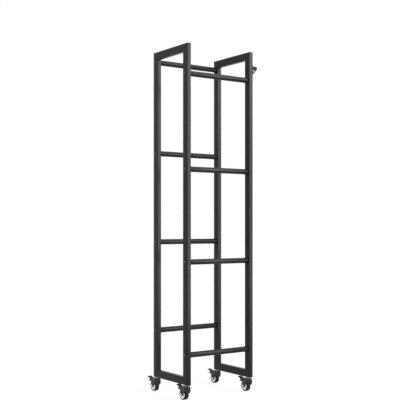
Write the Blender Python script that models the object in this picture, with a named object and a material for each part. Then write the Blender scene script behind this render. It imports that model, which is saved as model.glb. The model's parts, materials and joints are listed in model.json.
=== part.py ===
"""A tall rolling rack that holds four crates at a tilt, with a bottle opener on one post.

Two closed side frames of rectangular tube are joined by eight round cross bars. The frames
roll on four swivel casters with brake pedals. Metres, +Z up, +Y towards the back, and the
origin on the floor under the middle of the whole object.
"""

import math

import bmesh
import bpy
from mathutils import Matrix, Vector

# Clearances
GAP = 0.0003  # between pieces that touch on the real rack
OVERRUN = 0.003  # how far a cutter reaches past what it cuts

# Tubes of the side frames
TUBE_WIDTH = 0.022  # along X
TUBE_DEPTH = 0.035  # along Y on a post, along Z on a rail
TUBE_WALL = 0.0015
TUBE_CORNER = 0.003  # outer corner radius
FRAME_WIDTH = 0.352  # between the centre lines of the left and right posts
FRAME_DEPTH = 0.250  # between the centre lines of the front and rear posts

# Levels, as heights of the bars' centre lines
LEVELS = 4
FIRST_BAR = 0.134  # lowest front bar over the frame's underside
LEVEL_PITCH = 0.417
TOP_LEVEL_EXTRA = 0.013  # how much more than that lies under the highest level
TOP_MARGIN = 0.133  # top of the frame over the highest front bar
REAR_RISE = 0.087  # each rear bar over the front bar of its level

# Cross bars
BAR_RADIUS = 0.0125
BAR_WALL = 0.0015
BAR_PLUG = 0.014  # length of the threaded plug welded into each end

# Bar bolts
BOLT_RADIUS = 0.003
BOLT_BITE = 0.010  # length of the bolt inside the bar's plug
BOLT_HEAD_RADIUS = 0.00525
BOLT_HEAD_HEIGHT = 0.0033
BOLT_SOCKET = 0.004  # across the flats of the hexagon socket
BOLT_SOCKET_DEPTH = 0.0019
HEAD_OUTLINE_SHARES = ((1.0, 0.0), (1.0, 0.3), (0.8, 0.78), (0.0, 1.0))

# Bottle opener
OPENER_CLEARANCE = 0.00275  # plate's lower end over the bolt head under it
PLATE_WIDTH = 0.026
PLATE_HEIGHT = 0.074
PLATE_THICKNESS = 0.003
PLATE_CORNER = 0.005
HOOD_WIDTH = 0.036
HOOD_REACH = 0.0335  # from the post's face to the hood's nose
HOOD_WALL = 0.003
HOOD_ROOF = 0.005
HOOD_BELOW_PLATE_TOP = 0.0155
HOOD_TOP_FALL = 0.001  # how far the roof slopes down towards the nose
HOOD_NOSE = 0.0035  # the nose's tip under the hood's top
HOOD_HEIGHT = 0.0355
WINDOW_NEAR = 0.0028  # side window's near edge from the post's face
WINDOW_FAR = 0.0095  # side window's far edge from the post's face
WINDOW_TOP = 0.015  # side window's upper edge under the hood's top
WINDOW_STRAP = 0.0035  # metal left between the window and the slanted rim
SCREW_RADIUS = 0.002
SCREW_LENGTH = 0.009
SCREW_HEAD_RADIUS = 0.0038
SCREW_HEAD_HEIGHT = 0.0024
SCREW_TOP_INSET = 0.008  # upper screw under the plate's upper end
SCREW_FOOT_INSET = 0.006  # lower screw over the plate's lower end
SCREW_SLOT = 0.001
SCREW_SLOT_DEPTH = 0.0009

# Wheels
TYRE_RADIUS = 0.025
TYRE_THICKNESS = 0.0042
TYRE_WIDTH = 0.021
TYRE_SHOULDER = 0.0032  # rounding of the tread's edges
HUB_LIP = 0.0006  # how far the hub's rim stands inside the tyre's side
HUB_WEB = 0.0045  # thickness of the disc between rim and boss
HUB_RIM = 0.0028  # thickness of the rim
HUB_BOSS_RADIUS = 0.0065
TRAIL = 0.023  # axle behind the swivel axis
FORK_SIDE_GAP = 0.001  # between tyre and fork leg
AXLE_RADIUS = 0.003
AXLE_HEAD_RADIUS = 0.0052
AXLE_HEAD_HEIGHT = 0.0028

# Swivel stems
WHEEL_HEADROOM = 0.006  # stem's foot over the tyre
STEM_RADIUS = 0.004
STEM_FOOT_RADIUS = 0.006
STEM_FOOT_HEIGHT = 0.0016
STEM_THREAD = 0.014  # threaded length above the frame's underside
FLANGE_RADIUS = 0.012
COLLAR_RADIUS = 0.008
FLANGE_HEIGHT = 0.0016
COLLAR_HEIGHT = 0.0014
NUT_RADIUS = 0.007  # round weld nut inside the bottom rail
NUT_MITRE_CLEARANCE = 0.001

# Forks
CROWN_HEIGHT = 0.0077  # solid crown from its underside to its top
BELL_RADIUS = 0.0167
BELL_WALL = 0.002
BELL_FRONT_DEPTH = 0.0334  # from the crown's top to the hood's lower front edge
BELL_REAR_DEPTH = 0.0104  # from the crown's top to the hood's lower rear edge
BELL_SHARES = ((0.54, 0.0), (0.76, 0.045), (0.91, 0.16), (0.98, 0.33), (1.0, 0.55), (0.95, 0.78), (0.82, 1.0))
LEG_THICKNESS = 0.002
LEG_FRONT = 0.002  # legs' front edge ahead of the swivel axis
LEG_BOSS_RADIUS = 0.008
LEG_KNEE_DEPTH = 0.018  # from the crown's top to where the leg's front edge turns to the axle

# Brake pedals
PIVOT_BACK = 0.011  # pedal pivot behind the axle
PIVOT_RISE = 0.0027  # pedal pivot over the tyre's top
PIVOT_PIN_RADIUS = 0.0018
PIVOT_PIN_LENGTH = 0.0036
EAR_RADIUS = 0.0045
BARREL_RADIUS = 0.0034
PEDAL_THICKNESS = 0.0026
PEDAL_REACH = 0.072  # pedal's tip behind the swivel axis
PEDAL_TIP_RISE = 0.011  # pedal's tip over its pivot
PEDAL_TREAD_WIDTH = 0.021
PEDAL_TREAD_LENGTH = 0.027
PRONG_BACK = 0.026  # release prong's tip behind the pivot
PRONG_DROP = 0.0115  # release prong's tip under the pivot
PRONG_ROOT = 0.017  # where the prong leaves the pedal, behind the pivot
SHOE_BACK = 0.005  # brake shoe's face behind the pivot
SHOE_LENGTH = 0.004
SHOE_CLEARANCE = 0.0032  # from the tyre with the brake off

# Sides of round forms
BAR_SIDES = 16
WHEEL_SIDES = 24
BELL_SIDES = 16
BOLT_SIDES = 10
CORNER_STEPS = 3
SHOULDER_STEPS = 2
ARC_STEPS = 6
SMOOTH_ANGLE = math.radians(40)

# Finishes, each with its colour, roughness and metallic share
FINISHES = {
    "black powder coat": ((0.03, 0.03, 0.032), 0.5, 0.0),
    "blackened steel": ((0.05, 0.05, 0.052), 0.4, 0.8),
    "black cast iron": ((0.02, 0.02, 0.021), 0.55, 0.4),
    "zinc plated steel": ((0.55, 0.56, 0.58), 0.3, 1.0),
    "black nickel": ((0.09, 0.09, 0.1), 0.22, 0.9),
    "black plastic": ((0.03, 0.03, 0.032), 0.35, 0.0),
    "black rubber": ((0.015, 0.015, 0.016), 0.7, 0.0),
    "white plastic": ((0.8, 0.8, 0.8), 0.35, 0.0),
}

# Heights above the floor, stacked from the wheel up to the frame
WHEEL_CENTRE = TYRE_RADIUS * math.cos(math.pi / WHEEL_SIDES)
WHEEL_TOP = WHEEL_CENTRE + TYRE_RADIUS
STEM_FOOT = WHEEL_TOP + WHEEL_HEADROOM
CROWN_LOW = STEM_FOOT + STEM_FOOT_HEIGHT + GAP
CROWN_TOP = CROWN_LOW + CROWN_HEIGHT
FLANGE_LOW = CROWN_TOP + GAP
COLLAR_TOP = FLANGE_LOW + FLANGE_HEIGHT + COLLAR_HEIGHT
FRAME_LOW = COLLAR_TOP + GAP
HIGHEST_BAR = FIRST_BAR + (LEVELS - 1) * LEVEL_PITCH + TOP_LEVEL_EXTRA
FRAME_HEIGHT = HIGHEST_BAR + TOP_MARGIN

# Places derived from the sizes above
FRAME_LENGTH = FRAME_DEPTH + TUBE_DEPTH  # outer length of a rail
INNER_WIDTH = FRAME_WIDTH - TUBE_WIDTH  # between the side frames
OUTER_HALF = (FRAME_WIDTH + TUBE_WIDTH) / 2
LEG_INNER = TYRE_WIDTH / 2 + FORK_SIDE_GAP
LEG_OUTER = LEG_INNER + LEG_THICKNESS
FRONT_EXTENT = max(TUBE_DEPTH / 2, BELL_RADIUS)  # ahead of the front posts' centre line
LEFT_EXTENT = max(  # left of the left posts' centre line
    TUBE_WIDTH / 2 + GAP + BOLT_HEAD_HEIGHT,
    LEG_OUTER + GAP + AXLE_HEAD_HEIGHT,
    BELL_RADIUS,
)
CENTRE_X = (LEFT_EXTENT - TUBE_WIDTH / 2 - HOOD_REACH) / 2
CENTRE_Y = (FRONT_EXTENT - PEDAL_REACH) / 2
FRONT_HEIGHTS = [FIRST_BAR + level * LEVEL_PITCH for level in range(LEVELS - 1)] + [HIGHEST_BAR]
REAR_HEIGHTS = [height + REAR_RISE for height in FRONT_HEIGHTS]
PIVOT_Y = TRAIL + PIVOT_BACK
PIVOT_Z = WHEEL_TOP + PIVOT_RISE
PLATE_LOW = FRAME_LOW + FRONT_HEIGHTS[-1] + BOLT_HEAD_RADIUS + OPENER_CLEARANCE
HOOD_TOP = PLATE_LOW + PLATE_HEIGHT - HOOD_BELOW_PLATE_TOP

SIDES = (("left", -1), ("right", 1))
ENDS = (("front", -1), ("rear", 1))


def make_material(name, colour, roughness, metallic):
    """A plain surface with one colour."""
    material = bpy.data.materials.new(name)
    material.use_nodes = True
    shader = material.node_tree.nodes["Principled BSDF"]
    shader.inputs["Base Color"].default_value = (*colour, 1.0)
    shader.inputs["Roughness"].default_value = roughness
    shader.inputs["Metallic"].default_value = metallic
    return material


def finish_mesh(bm, name):
    """Turns a bmesh into a mesh with its faces pointing out."""
    bmesh.ops.recalc_face_normals(bm, faces=bm.faces)
    mesh = bpy.data.meshes.new(name)
    bm.to_mesh(mesh)
    bm.free()
    return mesh


def combine(first, second, operation):
    """Joins two closed meshes, or cuts the second out of the first."""
    pair = [bpy.data.objects.new("shape", mesh) for mesh in (first, second)]
    for item in pair:
        bpy.context.scene.collection.objects.link(item)
    modifier = pair[0].modifiers.new("combine", "BOOLEAN")
    modifier.operation = operation
    modifier.solver = "EXACT"
    modifier.object = pair[1]
    graph = bpy.context.evaluated_depsgraph_get()
    result = bpy.data.meshes.new_from_object(pair[0].evaluated_get(graph))
    for item in pair:
        bpy.data.objects.remove(item)
    return result


def cut(mesh, *cutters):
    """Cuts each cutter out of a mesh."""
    for cutter in cutters:
        mesh = combine(mesh, cutter, "DIFFERENCE")
    return mesh


def join(mesh, *others):
    """Unites a mesh with each of the others."""
    for other in others:
        mesh = combine(mesh, other, "UNION")
    return mesh


def turned(profile, sides, axis="Z", centre=(0, 0, 0), flat_down=False):
    """A profile of (radius, height) points spun round an axis, open only where it meets it."""
    bm = bmesh.new()
    corners = [bm.verts.new((radius, 0, height)) for radius, height in profile]
    edges = [bm.edges.new(pair) for pair in zip(corners, corners[1:])]
    if profile[0][0] > 0:
        edges.append(bm.edges.new((corners[-1], corners[0])))
    bmesh.ops.spin(
        bm,
        geom=corners + edges,
        axis=(0, 0, 1),
        angle=2 * math.pi,
        steps=sides,
        use_merge=True,
    )
    bmesh.ops.remove_doubles(bm, verts=bm.verts, dist=GAP / sides)
    if flat_down:
        half_side = Matrix.Rotation(math.pi / sides, 4, "Z")
        bmesh.ops.transform(bm, matrix=half_side, verts=bm.verts)
    lay = {
        "X": Matrix.Rotation(math.pi / 2, 4, "Y"),
        "Y": Matrix.Rotation(math.pi / 2, 4, "X"),
        "Z": Matrix.Identity(4),
    }[axis]
    bmesh.ops.transform(bm, matrix=Matrix.Translation(centre) @ lay, verts=bm.verts)
    return finish_mesh(bm, "turned")


def rod(radius, low, high, sides, axis="Z", centre=(0, 0, 0)):
    """A plain round bar from low to high along an axis."""
    profile = ((0, low), (radius, low), (radius, high), (0, high))
    return turned(profile, sides, axis, centre)


def plate(outline, low, high, axis):
    """A flat outline given a thickness along X or Z; an outline along X is (y, z) points."""
    bm = bmesh.new()
    if axis == "X":
        corners = [bm.verts.new((low, y, z)) for y, z in outline]
    else:
        corners = [bm.verts.new((x, y, low)) for x, y in outline]
    face = bm.faces.new(corners)
    grown = bmesh.ops.extrude_face_region(bm, geom=[face])
    raised = [item for item in grown["geom"] if isinstance(item, bmesh.types.BMVert)]
    thickness = high - low
    step = Vector((thickness, 0, 0)) if axis == "X" else Vector((0, 0, thickness))
    bmesh.ops.translate(bm, vec=step, verts=raised)
    return finish_mesh(bm, "plate")


def side_cutter(outline, half_width):
    """A cutter with an (x, z) outline that reaches half_width both ways along Y."""
    bm = bmesh.new()
    corners = [bm.verts.new((x, -half_width, z)) for x, z in outline]
    face = bm.faces.new(corners)
    grown = bmesh.ops.extrude_face_region(bm, geom=[face])
    raised = [item for item in grown["geom"] if isinstance(item, bmesh.types.BMVert)]
    bmesh.ops.translate(bm, vec=Vector((0, 2 * half_width, 0)), verts=raised)
    return finish_mesh(bm, "side_cutter")


def block(low, high):
    """A box between two opposite corners."""
    outline = ((low[1], low[2]), (high[1], low[2]), (high[1], high[2]), (low[1], high[2]))
    return plate(outline, low[0], high[0], "X")


def arc(centre, radius, start, end, steps=ARC_STEPS):
    """Points along an arc, with its angles in degrees."""
    points = []
    for step in range(steps + 1):
        angle = math.radians(start + (end - start) * step / steps)
        points.append((centre[0] + radius * math.cos(angle), centre[1] + radius * math.sin(angle)))
    return points


def rounded_rectangle(width, depth, radius, steps=CORNER_STEPS):
    """Anticlockwise points of a rectangle with round corners, centred on the origin."""
    across = width / 2 - radius
    along = depth / 2 - radius
    points = arc((across, along), radius, 0, 90, steps)
    points += arc((-across, along), radius, 90, 180, steps)
    points += arc((-across, -along), radius, 180, 270, steps)
    points += arc((across, -along), radius, 270, 360, steps)
    return points


def mitred_tube(length):
    """A tube along Z whose long side is at -Y, with both ends cut at 45 degrees for a frame."""
    pull = GAP / math.sqrt(2)
    outer = rounded_rectangle(TUBE_WIDTH, TUBE_DEPTH, TUBE_CORNER)
    inner = rounded_rectangle(
        TUBE_WIDTH - 2 * TUBE_WALL, TUBE_DEPTH - 2 * TUBE_WALL, TUBE_CORNER - TUBE_WALL
    )
    bm = bmesh.new()
    loops = []
    for outline in (outer, inner):
        for end in (-1, 1):
            loop = []
            for x, y in outline:
                shortening = y + TUBE_DEPTH / 2 + pull
                loop.append(bm.verts.new((x, y, end * (length / 2 - shortening))))
            loops.append(loop)
    outer_low, outer_high, inner_low, inner_high = loops
    count = len(outer)
    for first, second in (
        (outer_low, outer_high),
        (outer_high, inner_high),
        (inner_high, inner_low),
        (inner_low, outer_low),
    ):
        for index in range(count):
            after = (index + 1) % count
            bm.faces.new((first[index], first[after], second[after], second[index]))
    return finish_mesh(bm, "mitred_tube")


def post_mesh(heights):
    """A post with a through hole for each bar bolt, centred on its own length."""
    mesh = mitred_tube(FRAME_HEIGHT)
    reach = TUBE_WIDTH / 2 + OVERRUN
    for height in heights:
        centre = (0, 0, height - FRAME_HEIGHT / 2)
        mesh = cut(mesh, rod(BOLT_RADIUS + GAP, -reach, reach, BOLT_SIDES, "X", centre))
    return mesh


def opener_screw_heights():
    """Heights of the opener's two screws above the floor."""
    return (PLATE_LOW + SCREW_FOOT_INSET, PLATE_LOW + PLATE_HEIGHT - SCREW_TOP_INSET)


def opener_post_mesh():
    """The front right post, which also has two screw holes in its outer wall."""
    mesh = post_mesh(FRONT_HEIGHTS)
    start = TUBE_WIDTH / 2 - TUBE_WALL - OVERRUN
    for height in opener_screw_heights():
        centre = (0, 0, height - FRAME_LOW - FRAME_HEIGHT / 2)
        end = TUBE_WIDTH / 2 + OVERRUN
        mesh = cut(mesh, rod(SCREW_RADIUS + GAP, start, end, BOLT_SIDES, "X", centre))
    return mesh


def bottom_rail_mesh():
    """A bottom rail with a round nut welded inside over each caster's hole."""
    mesh = mitred_tube(FRAME_LENGTH)
    outside = -TUBE_DEPTH / 2
    nut_top = outside + TUBE_DEPTH / 2 - NUT_RADIUS - NUT_MITRE_CLEARANCE
    nut_low = outside + TUBE_WALL / 2
    for end in (-1, 1):
        centre = (0, 0, end * FRAME_DEPTH / 2)
        mesh = join(mesh, rod(NUT_RADIUS, -nut_top, -nut_low, BOLT_SIDES, "Y", centre))
        low = -nut_top - OVERRUN
        high = -outside + OVERRUN
        mesh = cut(mesh, rod(STEM_RADIUS + GAP, low, high, BOLT_SIDES, "Y", centre))
    return mesh


def bar_mesh():
    """A round bar along X with a threaded plug in each end; flats face up, down and at 45."""
    half = INNER_WIDTH / 2 - GAP
    bore = BOLT_RADIUS + GAP
    hollow = BAR_RADIUS - BAR_WALL
    inside = half - BAR_PLUG
    profile = (
        (bore, -half),
        (BAR_RADIUS, -half),
        (BAR_RADIUS, half),
        (bore, half),
        (bore, inside),
        (hollow, inside),
        (hollow, -inside),
        (bore, -inside),
    )
    return turned(profile, BAR_SIDES, "X", flat_down=True)


def bolt_mesh():
    """A button head bolt along +X, its head outside the post's face at x = 0."""
    reach = GAP + TUBE_WIDTH + GAP + BOLT_BITE
    profile = [(0, reach), (BOLT_RADIUS, reach), (BOLT_RADIUS, 0)]
    for radius_share, height_share in HEAD_OUTLINE_SHARES:
        profile.append((BOLT_HEAD_RADIUS * radius_share, -BOLT_HEAD_HEIGHT * height_share))
    mesh = turned(profile, BOLT_SIDES, "X", (-GAP, 0, 0))
    corner = BOLT_SOCKET / math.sqrt(3)
    bottom = -GAP - BOLT_HEAD_HEIGHT + BOLT_SOCKET_DEPTH
    top = -GAP - BOLT_HEAD_HEIGHT - OVERRUN
    return cut(mesh, rod(corner, top, bottom, 6, "X"))


def screw_mesh():
    """A pan head screw along -X, its head outside the opener's plate."""
    seat = GAP + PLATE_THICKNESS + GAP
    top = seat + SCREW_HEAD_HEIGHT
    profile = [(0, seat - SCREW_LENGTH), (SCREW_RADIUS, seat - SCREW_LENGTH), (SCREW_RADIUS, seat)]
    for radius_share, height_share in HEAD_OUTLINE_SHARES:
        profile.append((SCREW_HEAD_RADIUS * radius_share, seat + SCREW_HEAD_HEIGHT * height_share))
    mesh = turned(profile, BOLT_SIDES, "X")
    floor = top - SCREW_SLOT_DEPTH
    half = SCREW_SLOT / 2
    slot = block((floor, -SCREW_HEAD_RADIUS, -half), (top + OVERRUN, SCREW_HEAD_RADIUS, half))
    return cut(mesh, slot)


def hood_plan(half_width, reach):
    """Plan of the opener's hood, from the post's face out to a round nose."""
    shoulder = reach - half_width
    return [(GAP, half_width), (GAP, -half_width)] + arc((shoulder, 0), half_width, -90, 90, 2 * ARC_STEPS)


def opener_mesh():
    """A hooded bottle opener on a plate; x = 0 is the post's face and z = 0 the hood's top."""
    plate_top = HOOD_BELOW_PLATE_TOP
    plate_low = plate_top - PLATE_HEIGHT
    middle = (plate_top + plate_low) / 2
    outline = [
        (y, z + middle)
        for y, z in rounded_rectangle(PLATE_WIDTH, PLATE_HEIGHT, PLATE_CORNER)
    ]
    back = plate(outline, GAP, GAP + PLATE_THICKNESS, "X")

    hood = plate(hood_plan(HOOD_WIDTH / 2, HOOD_REACH), -HOOD_HEIGHT, 0, "Z")
    inner_half = HOOD_WIDTH / 2 - HOOD_WALL
    inside = plate(
        hood_plan(inner_half, HOOD_REACH - HOOD_WALL), -HOOD_HEIGHT - OVERRUN, -HOOD_ROOF, "Z"
    )
    slope = (HOOD_HEIGHT - HOOD_NOSE) / (HOOD_REACH - PLATE_THICKNESS)
    far = HOOD_REACH + OVERRUN
    rim_far = -HOOD_NOSE + OVERRUN * slope
    rim_near = -HOOD_HEIGHT - OVERRUN
    near = PLATE_THICKNESS - OVERRUN / slope
    below = side_cutter(((near, rim_near), (far, rim_far), (far, rim_near)), HOOD_WIDTH)
    fall = HOOD_TOP_FALL / HOOD_REACH
    above = side_cutter(
        ((-OVERRUN, OVERRUN * fall), (far, -far * fall), (far, OVERRUN), (-OVERRUN, OVERRUN)), HOOD_WIDTH
    )
    strap = WINDOW_STRAP * math.sqrt(1 + slope**2)
    low_near, low_far = (
        (x - PLATE_THICKNESS) * slope - HOOD_HEIGHT + strap for x in (WINDOW_NEAR, WINDOW_FAR)
    )
    window = side_cutter(
        (
            (WINDOW_NEAR, low_near),
            (WINDOW_FAR, low_far),
            (WINDOW_FAR, -WINDOW_TOP),
            (WINDOW_NEAR, -WINDOW_TOP),
        ),
        HOOD_WIDTH,
    )
    mesh = join(cut(hood, inside, below, above, window), back)
    for height in opener_screw_heights():
        centre = (0, 0, height - HOOD_TOP)
        high = GAP + PLATE_THICKNESS + OVERRUN
        mesh = cut(mesh, rod(SCREW_RADIUS + GAP, -OVERRUN, high, BOLT_SIDES, "X", centre))
    return mesh


def stem_mesh():
    """The swivel stem: a foot under the fork's crown, a flange and collar over it, and the thread."""
    foot_top = STEM_FOOT + STEM_FOOT_HEIGHT
    flange_top = FLANGE_LOW + FLANGE_HEIGHT
    thread_top = FRAME_LOW + STEM_THREAD
    profile = (
        (0, STEM_FOOT),
        (STEM_FOOT_RADIUS, STEM_FOOT),
        (STEM_FOOT_RADIUS, foot_top),
        (STEM_RADIUS, foot_top),
        (STEM_RADIUS, FLANGE_LOW),
        (FLANGE_RADIUS, FLANGE_LOW),
        (FLANGE_RADIUS, flange_top),
        (COLLAR_RADIUS, flange_top),
        (COLLAR_RADIUS, COLLAR_TOP),
        (STEM_RADIUS, COLLAR_TOP),
        (STEM_RADIUS, thread_top),
        (0, thread_top),
    )
    return turned(profile, BOLT_SIDES)


def bell_points(wall):
    """The hood's outline from its lower edge up, moved in by a wall, as (radius, height)."""
    points = []
    for radius_share, depth_share in reversed(BELL_SHARES):
        height = CROWN_TOP - BELL_FRONT_DEPTH * depth_share
        points.append((BELL_RADIUS * radius_share - wall, height))
    return points


def hood_shell():
    """The fork's round hood, solid at the crown and hollow under it, cut low in front."""
    outer = bell_points(0)
    bell = turned([(0, outer[0][1])] + outer + [(0, CROWN_TOP)], BELL_SIDES)
    inner = [point for point in bell_points(BELL_WALL) if point[1] < CROWN_LOW]
    low = inner[0][1] - OVERRUN
    profile = [(0, low), (inner[0][0], low)] + inner + [(inner[-1][0], CROWN_LOW), (0, CROWN_LOW)]
    hollow = turned(profile, BELL_SIDES)
    far = BELL_RADIUS + OVERRUN
    front_low = CROWN_TOP - BELL_FRONT_DEPTH
    rear_low = CROWN_TOP - BELL_REAR_DEPTH
    outline = ((-far, front_low), (far, rear_low), (far, -OVERRUN), (-far, -OVERRUN))
    return cut(bell, hollow, plate(outline, -far, far, "X"))


def leg_outline():
    """Side view of a fork leg as (y, z) points, from the crown round the axle to the ear."""
    knee = CROWN_TOP - LEG_KNEE_DEPTH
    boss = (TRAIL, WHEEL_CENTRE)
    ear = (PIVOT_Y, PIVOT_Z)
    crown_inside = (CROWN_LOW + CROWN_TOP) / 2
    points = [(-LEG_FRONT, crown_inside), (-LEG_FRONT, knee)]
    points += arc(boss, LEG_BOSS_RADIUS, 225, 375)
    points += arc(ear, EAR_RADIUS, -15, 90)
    points += [(BELL_RADIUS / 2, crown_inside)]
    return points


def fork_mesh():
    """The fork: hood and crown, two legs down to the axle, and a stub pin inside each ear."""
    mesh = hood_shell()
    slot_low = WHEEL_CENTRE - LEG_BOSS_RADIUS
    slot = block((-LEG_INNER, 0, slot_low), (LEG_INNER, BELL_RADIUS + OVERRUN, CROWN_LOW))
    mesh = cut(mesh, slot)
    axle_place = (0, TRAIL, WHEEL_CENTRE)
    pivot_place = (0, PIVOT_Y, PIVOT_Z)
    pin_tip = LEG_INNER - PIVOT_PIN_LENGTH
    pin_root = LEG_INNER + LEG_THICKNESS / 2
    for _, side in SIDES:
        low, high = sorted((side * LEG_INNER, side * LEG_OUTER))
        leg = plate(leg_outline(), low, high, "X")
        hole_low = low - OVERRUN
        hole_high = high + OVERRUN
        hole = rod(AXLE_RADIUS + GAP, hole_low, hole_high, BOLT_SIDES, "X", axle_place)
        pin_low, pin_high = sorted((side * pin_tip, side * pin_root))
        pin = rod(PIVOT_PIN_RADIUS, pin_low, pin_high, BOLT_SIDES, "X", pivot_place)
        mesh = join(mesh, join(cut(leg, hole), pin))
    bore = rod(STEM_RADIUS + GAP, CROWN_LOW - OVERRUN, CROWN_TOP + OVERRUN, BOLT_SIDES)
    return cut(mesh, bore)


def tyre_mesh():
    """The tyre: a ring about the axle, with round shoulders and a flat at the bottom."""
    half = TYRE_WIDTH / 2
    inner = TYRE_RADIUS - TYRE_THICKNESS
    low = TYRE_RADIUS - TYRE_SHOULDER
    flat = half - TYRE_SHOULDER
    profile = [(inner, -half)]
    profile += [(r, h) for h, r in arc((-flat, low), TYRE_SHOULDER, 180, 90, SHOULDER_STEPS)]
    profile += [(r, h) for h, r in arc((flat, low), TYRE_SHOULDER, 90, 0, SHOULDER_STEPS)]
    profile += [(inner, half)]
    return turned(profile, WHEEL_SIDES, "X", flat_down=True)


def hub_mesh():
    """The hub: rim, thin disc and bored boss."""
    rim_half = TYRE_WIDTH / 2 - HUB_LIP
    boss_half = LEG_INNER - GAP
    web_half = HUB_WEB / 2
    outside = TYRE_RADIUS - TYRE_THICKNESS - GAP
    inside = outside - HUB_RIM
    bore = AXLE_RADIUS + GAP
    profile = (
        (bore, -boss_half),
        (HUB_BOSS_RADIUS, -boss_half),
        (HUB_BOSS_RADIUS, -web_half),
        (inside, -web_half),
        (inside, -rim_half),
        (outside, -rim_half),
        (outside, rim_half),
        (inside, rim_half),
        (inside, web_half),
        (HUB_BOSS_RADIUS, web_half),
        (HUB_BOSS_RADIUS, boss_half),
        (bore, boss_half),
    )
    return turned(profile, WHEEL_SIDES, "X", flat_down=True)


def axle_mesh():
    """The axle bolt along X, with a hexagon head on one side and its lock nut on the other."""
    seat = LEG_OUTER + GAP
    mesh = rod(AXLE_RADIUS, -seat - AXLE_HEAD_HEIGHT / 2, seat + AXLE_HEAD_HEIGHT + GAP, BOLT_SIDES, "X")
    head = rod(AXLE_HEAD_RADIUS, -seat - AXLE_HEAD_HEIGHT, -seat, 6, "X")
    nut = rod(AXLE_HEAD_RADIUS, seat, seat + AXLE_HEAD_HEIGHT, 6, "X")
    return join(mesh, head, nut)


def shoe_face_z(y):
    """Height of the brake shoe's face over the pivot at a distance behind the pivot."""
    back = y + PIVOT_BACK
    reach = TYRE_RADIUS + SHOE_CLEARANCE
    return math.sqrt(reach**2 - back**2) + WHEEL_CENTRE - PIVOT_Z


def pedal_mesh():
    """The brake pedal about its pivot: barrel, arm, foot tread, brake shoe and release prong."""
    thick = PEDAL_THICKNESS
    barrel_half = LEG_INNER - GAP
    tip_y = PEDAL_REACH - PIVOT_Y
    tip_z = PEDAL_TIP_RISE
    bend_y = tip_y - PEDAL_TREAD_LENGTH
    bend_z = BARREL_RADIUS
    shoe_end = SHOE_BACK + SHOE_LENGTH
    arm = [
        (0, bend_z - thick),
        (SHOE_BACK, bend_z - thick),
        (SHOE_BACK, shoe_face_z(SHOE_BACK)),
        (shoe_end, shoe_face_z(shoe_end)),
        (PRONG_ROOT, -BARREL_RADIUS / 2),
        (PRONG_BACK, -PRONG_DROP),
        (PRONG_BACK + thick / 2, -PRONG_DROP + thick / 2),
        (PRONG_ROOT + thick, bend_z - thick),
        (tip_y - PEDAL_TREAD_LENGTH / 2, bend_z - thick / 2),
        (tip_y - thick, tip_z),
        (bend_y, bend_z),
        (0, bend_z),
    ]
    mesh = plate(arm, -barrel_half, barrel_half, "X")
    mesh = join(mesh, rod(BARREL_RADIUS, -barrel_half, barrel_half, BOLT_SIDES, "X"))
    tread = [
        (bend_y, bend_z - thick / 2),
        (tip_y - thick, tip_z - thick),
        (tip_y, tip_z - thick / 2),
        (tip_y, tip_z + thick / 2),
        (tip_y - thick, tip_z + thick / 2),
        (bend_y, bend_z + thick / 2),
    ]
    half = PEDAL_TREAD_WIDTH / 2
    mesh = join(mesh, plate(tread, -half, half, "X"))
    reach = barrel_half + OVERRUN
    return cut(mesh, rod(PIVOT_PIN_RADIUS + GAP, -reach, reach, BOLT_SIDES, "X"))


def add_empty(name, location):
    """A point that other pieces hang from."""
    empty = bpy.data.objects.new(name, None)
    empty.location = location
    bpy.context.scene.collection.objects.link(empty)
    return empty


def add_piece(name, mesh, material, parent, location=(0, 0, 0), rotation=(0, 0, 0)):
    """Puts one piece of the rack in the scene."""
    if not mesh.materials:
        mesh.materials.append(material)
    piece = bpy.data.objects.new(name, mesh)
    piece.parent = parent
    piece.location = location
    piece.rotation_euler = rotation
    bpy.context.scene.collection.objects.link(piece)
    mesh.shade_smooth()
    mesh.set_sharp_from_angle(angle=SMOOTH_ANGLE)
    return piece


def build_frame(rack, powder):
    """Four posts and four rails, mitred into two closed side frames."""
    middle = FRAME_LOW + FRAME_HEIGHT / 2
    front = post_mesh(FRONT_HEIGHTS)
    rear = post_mesh(REAR_HEIGHTS)
    meshes = {
        ("front", "left"): front,
        ("front", "right"): opener_post_mesh(),
        ("rear", "left"): rear,
        ("rear", "right"): rear,
    }
    top_rail = mitred_tube(FRAME_LENGTH)
    bottom_rail = bottom_rail_mesh()
    for side_name, side in SIDES:
        x = side * FRAME_WIDTH / 2
        for end_name, end in ENDS:
            turn = (0, 0, 0) if end < 0 else (0, 0, math.pi)
            place = (x, end * FRAME_DEPTH / 2, middle)
            mesh = meshes[end_name, side_name]
            add_piece(f"post_{end_name}_{side_name}", mesh, powder, rack, place, turn)
        place = (x, 0, FRAME_LOW + FRAME_HEIGHT - TUBE_DEPTH / 2)
        add_piece(f"top_rail_{side_name}", top_rail, powder, rack, place, (-math.pi / 2, 0, 0))
        place = (x, 0, FRAME_LOW + TUBE_DEPTH / 2)
        add_piece(f"bottom_rail_{side_name}", bottom_rail, powder, rack, place, (math.pi / 2, 0, 0))


def build_bars(rack, powder, black_steel):
    """Eight cross bars, each held by a bolt through the post at either end."""
    bar = bar_mesh()
    bolt = bolt_mesh()
    for end_name, end in ENDS:
        heights = FRONT_HEIGHTS if end < 0 else REAR_HEIGHTS
        for number, height in enumerate(heights, start=1):
            y = end * FRAME_DEPTH / 2
            z = FRAME_LOW + height
            add_piece(f"{end_name}_bar_{number}", bar, powder, rack, (0, y, z))
            for side_name, side in SIDES:
                name = f"{end_name}_bolt_{number}_{side_name}"
                turn = (0, 0, 0) if side < 0 else (0, 0, math.pi)
                add_piece(name, bolt, black_steel, rack, (side * OUTER_HALF, y, z), turn)


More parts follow.
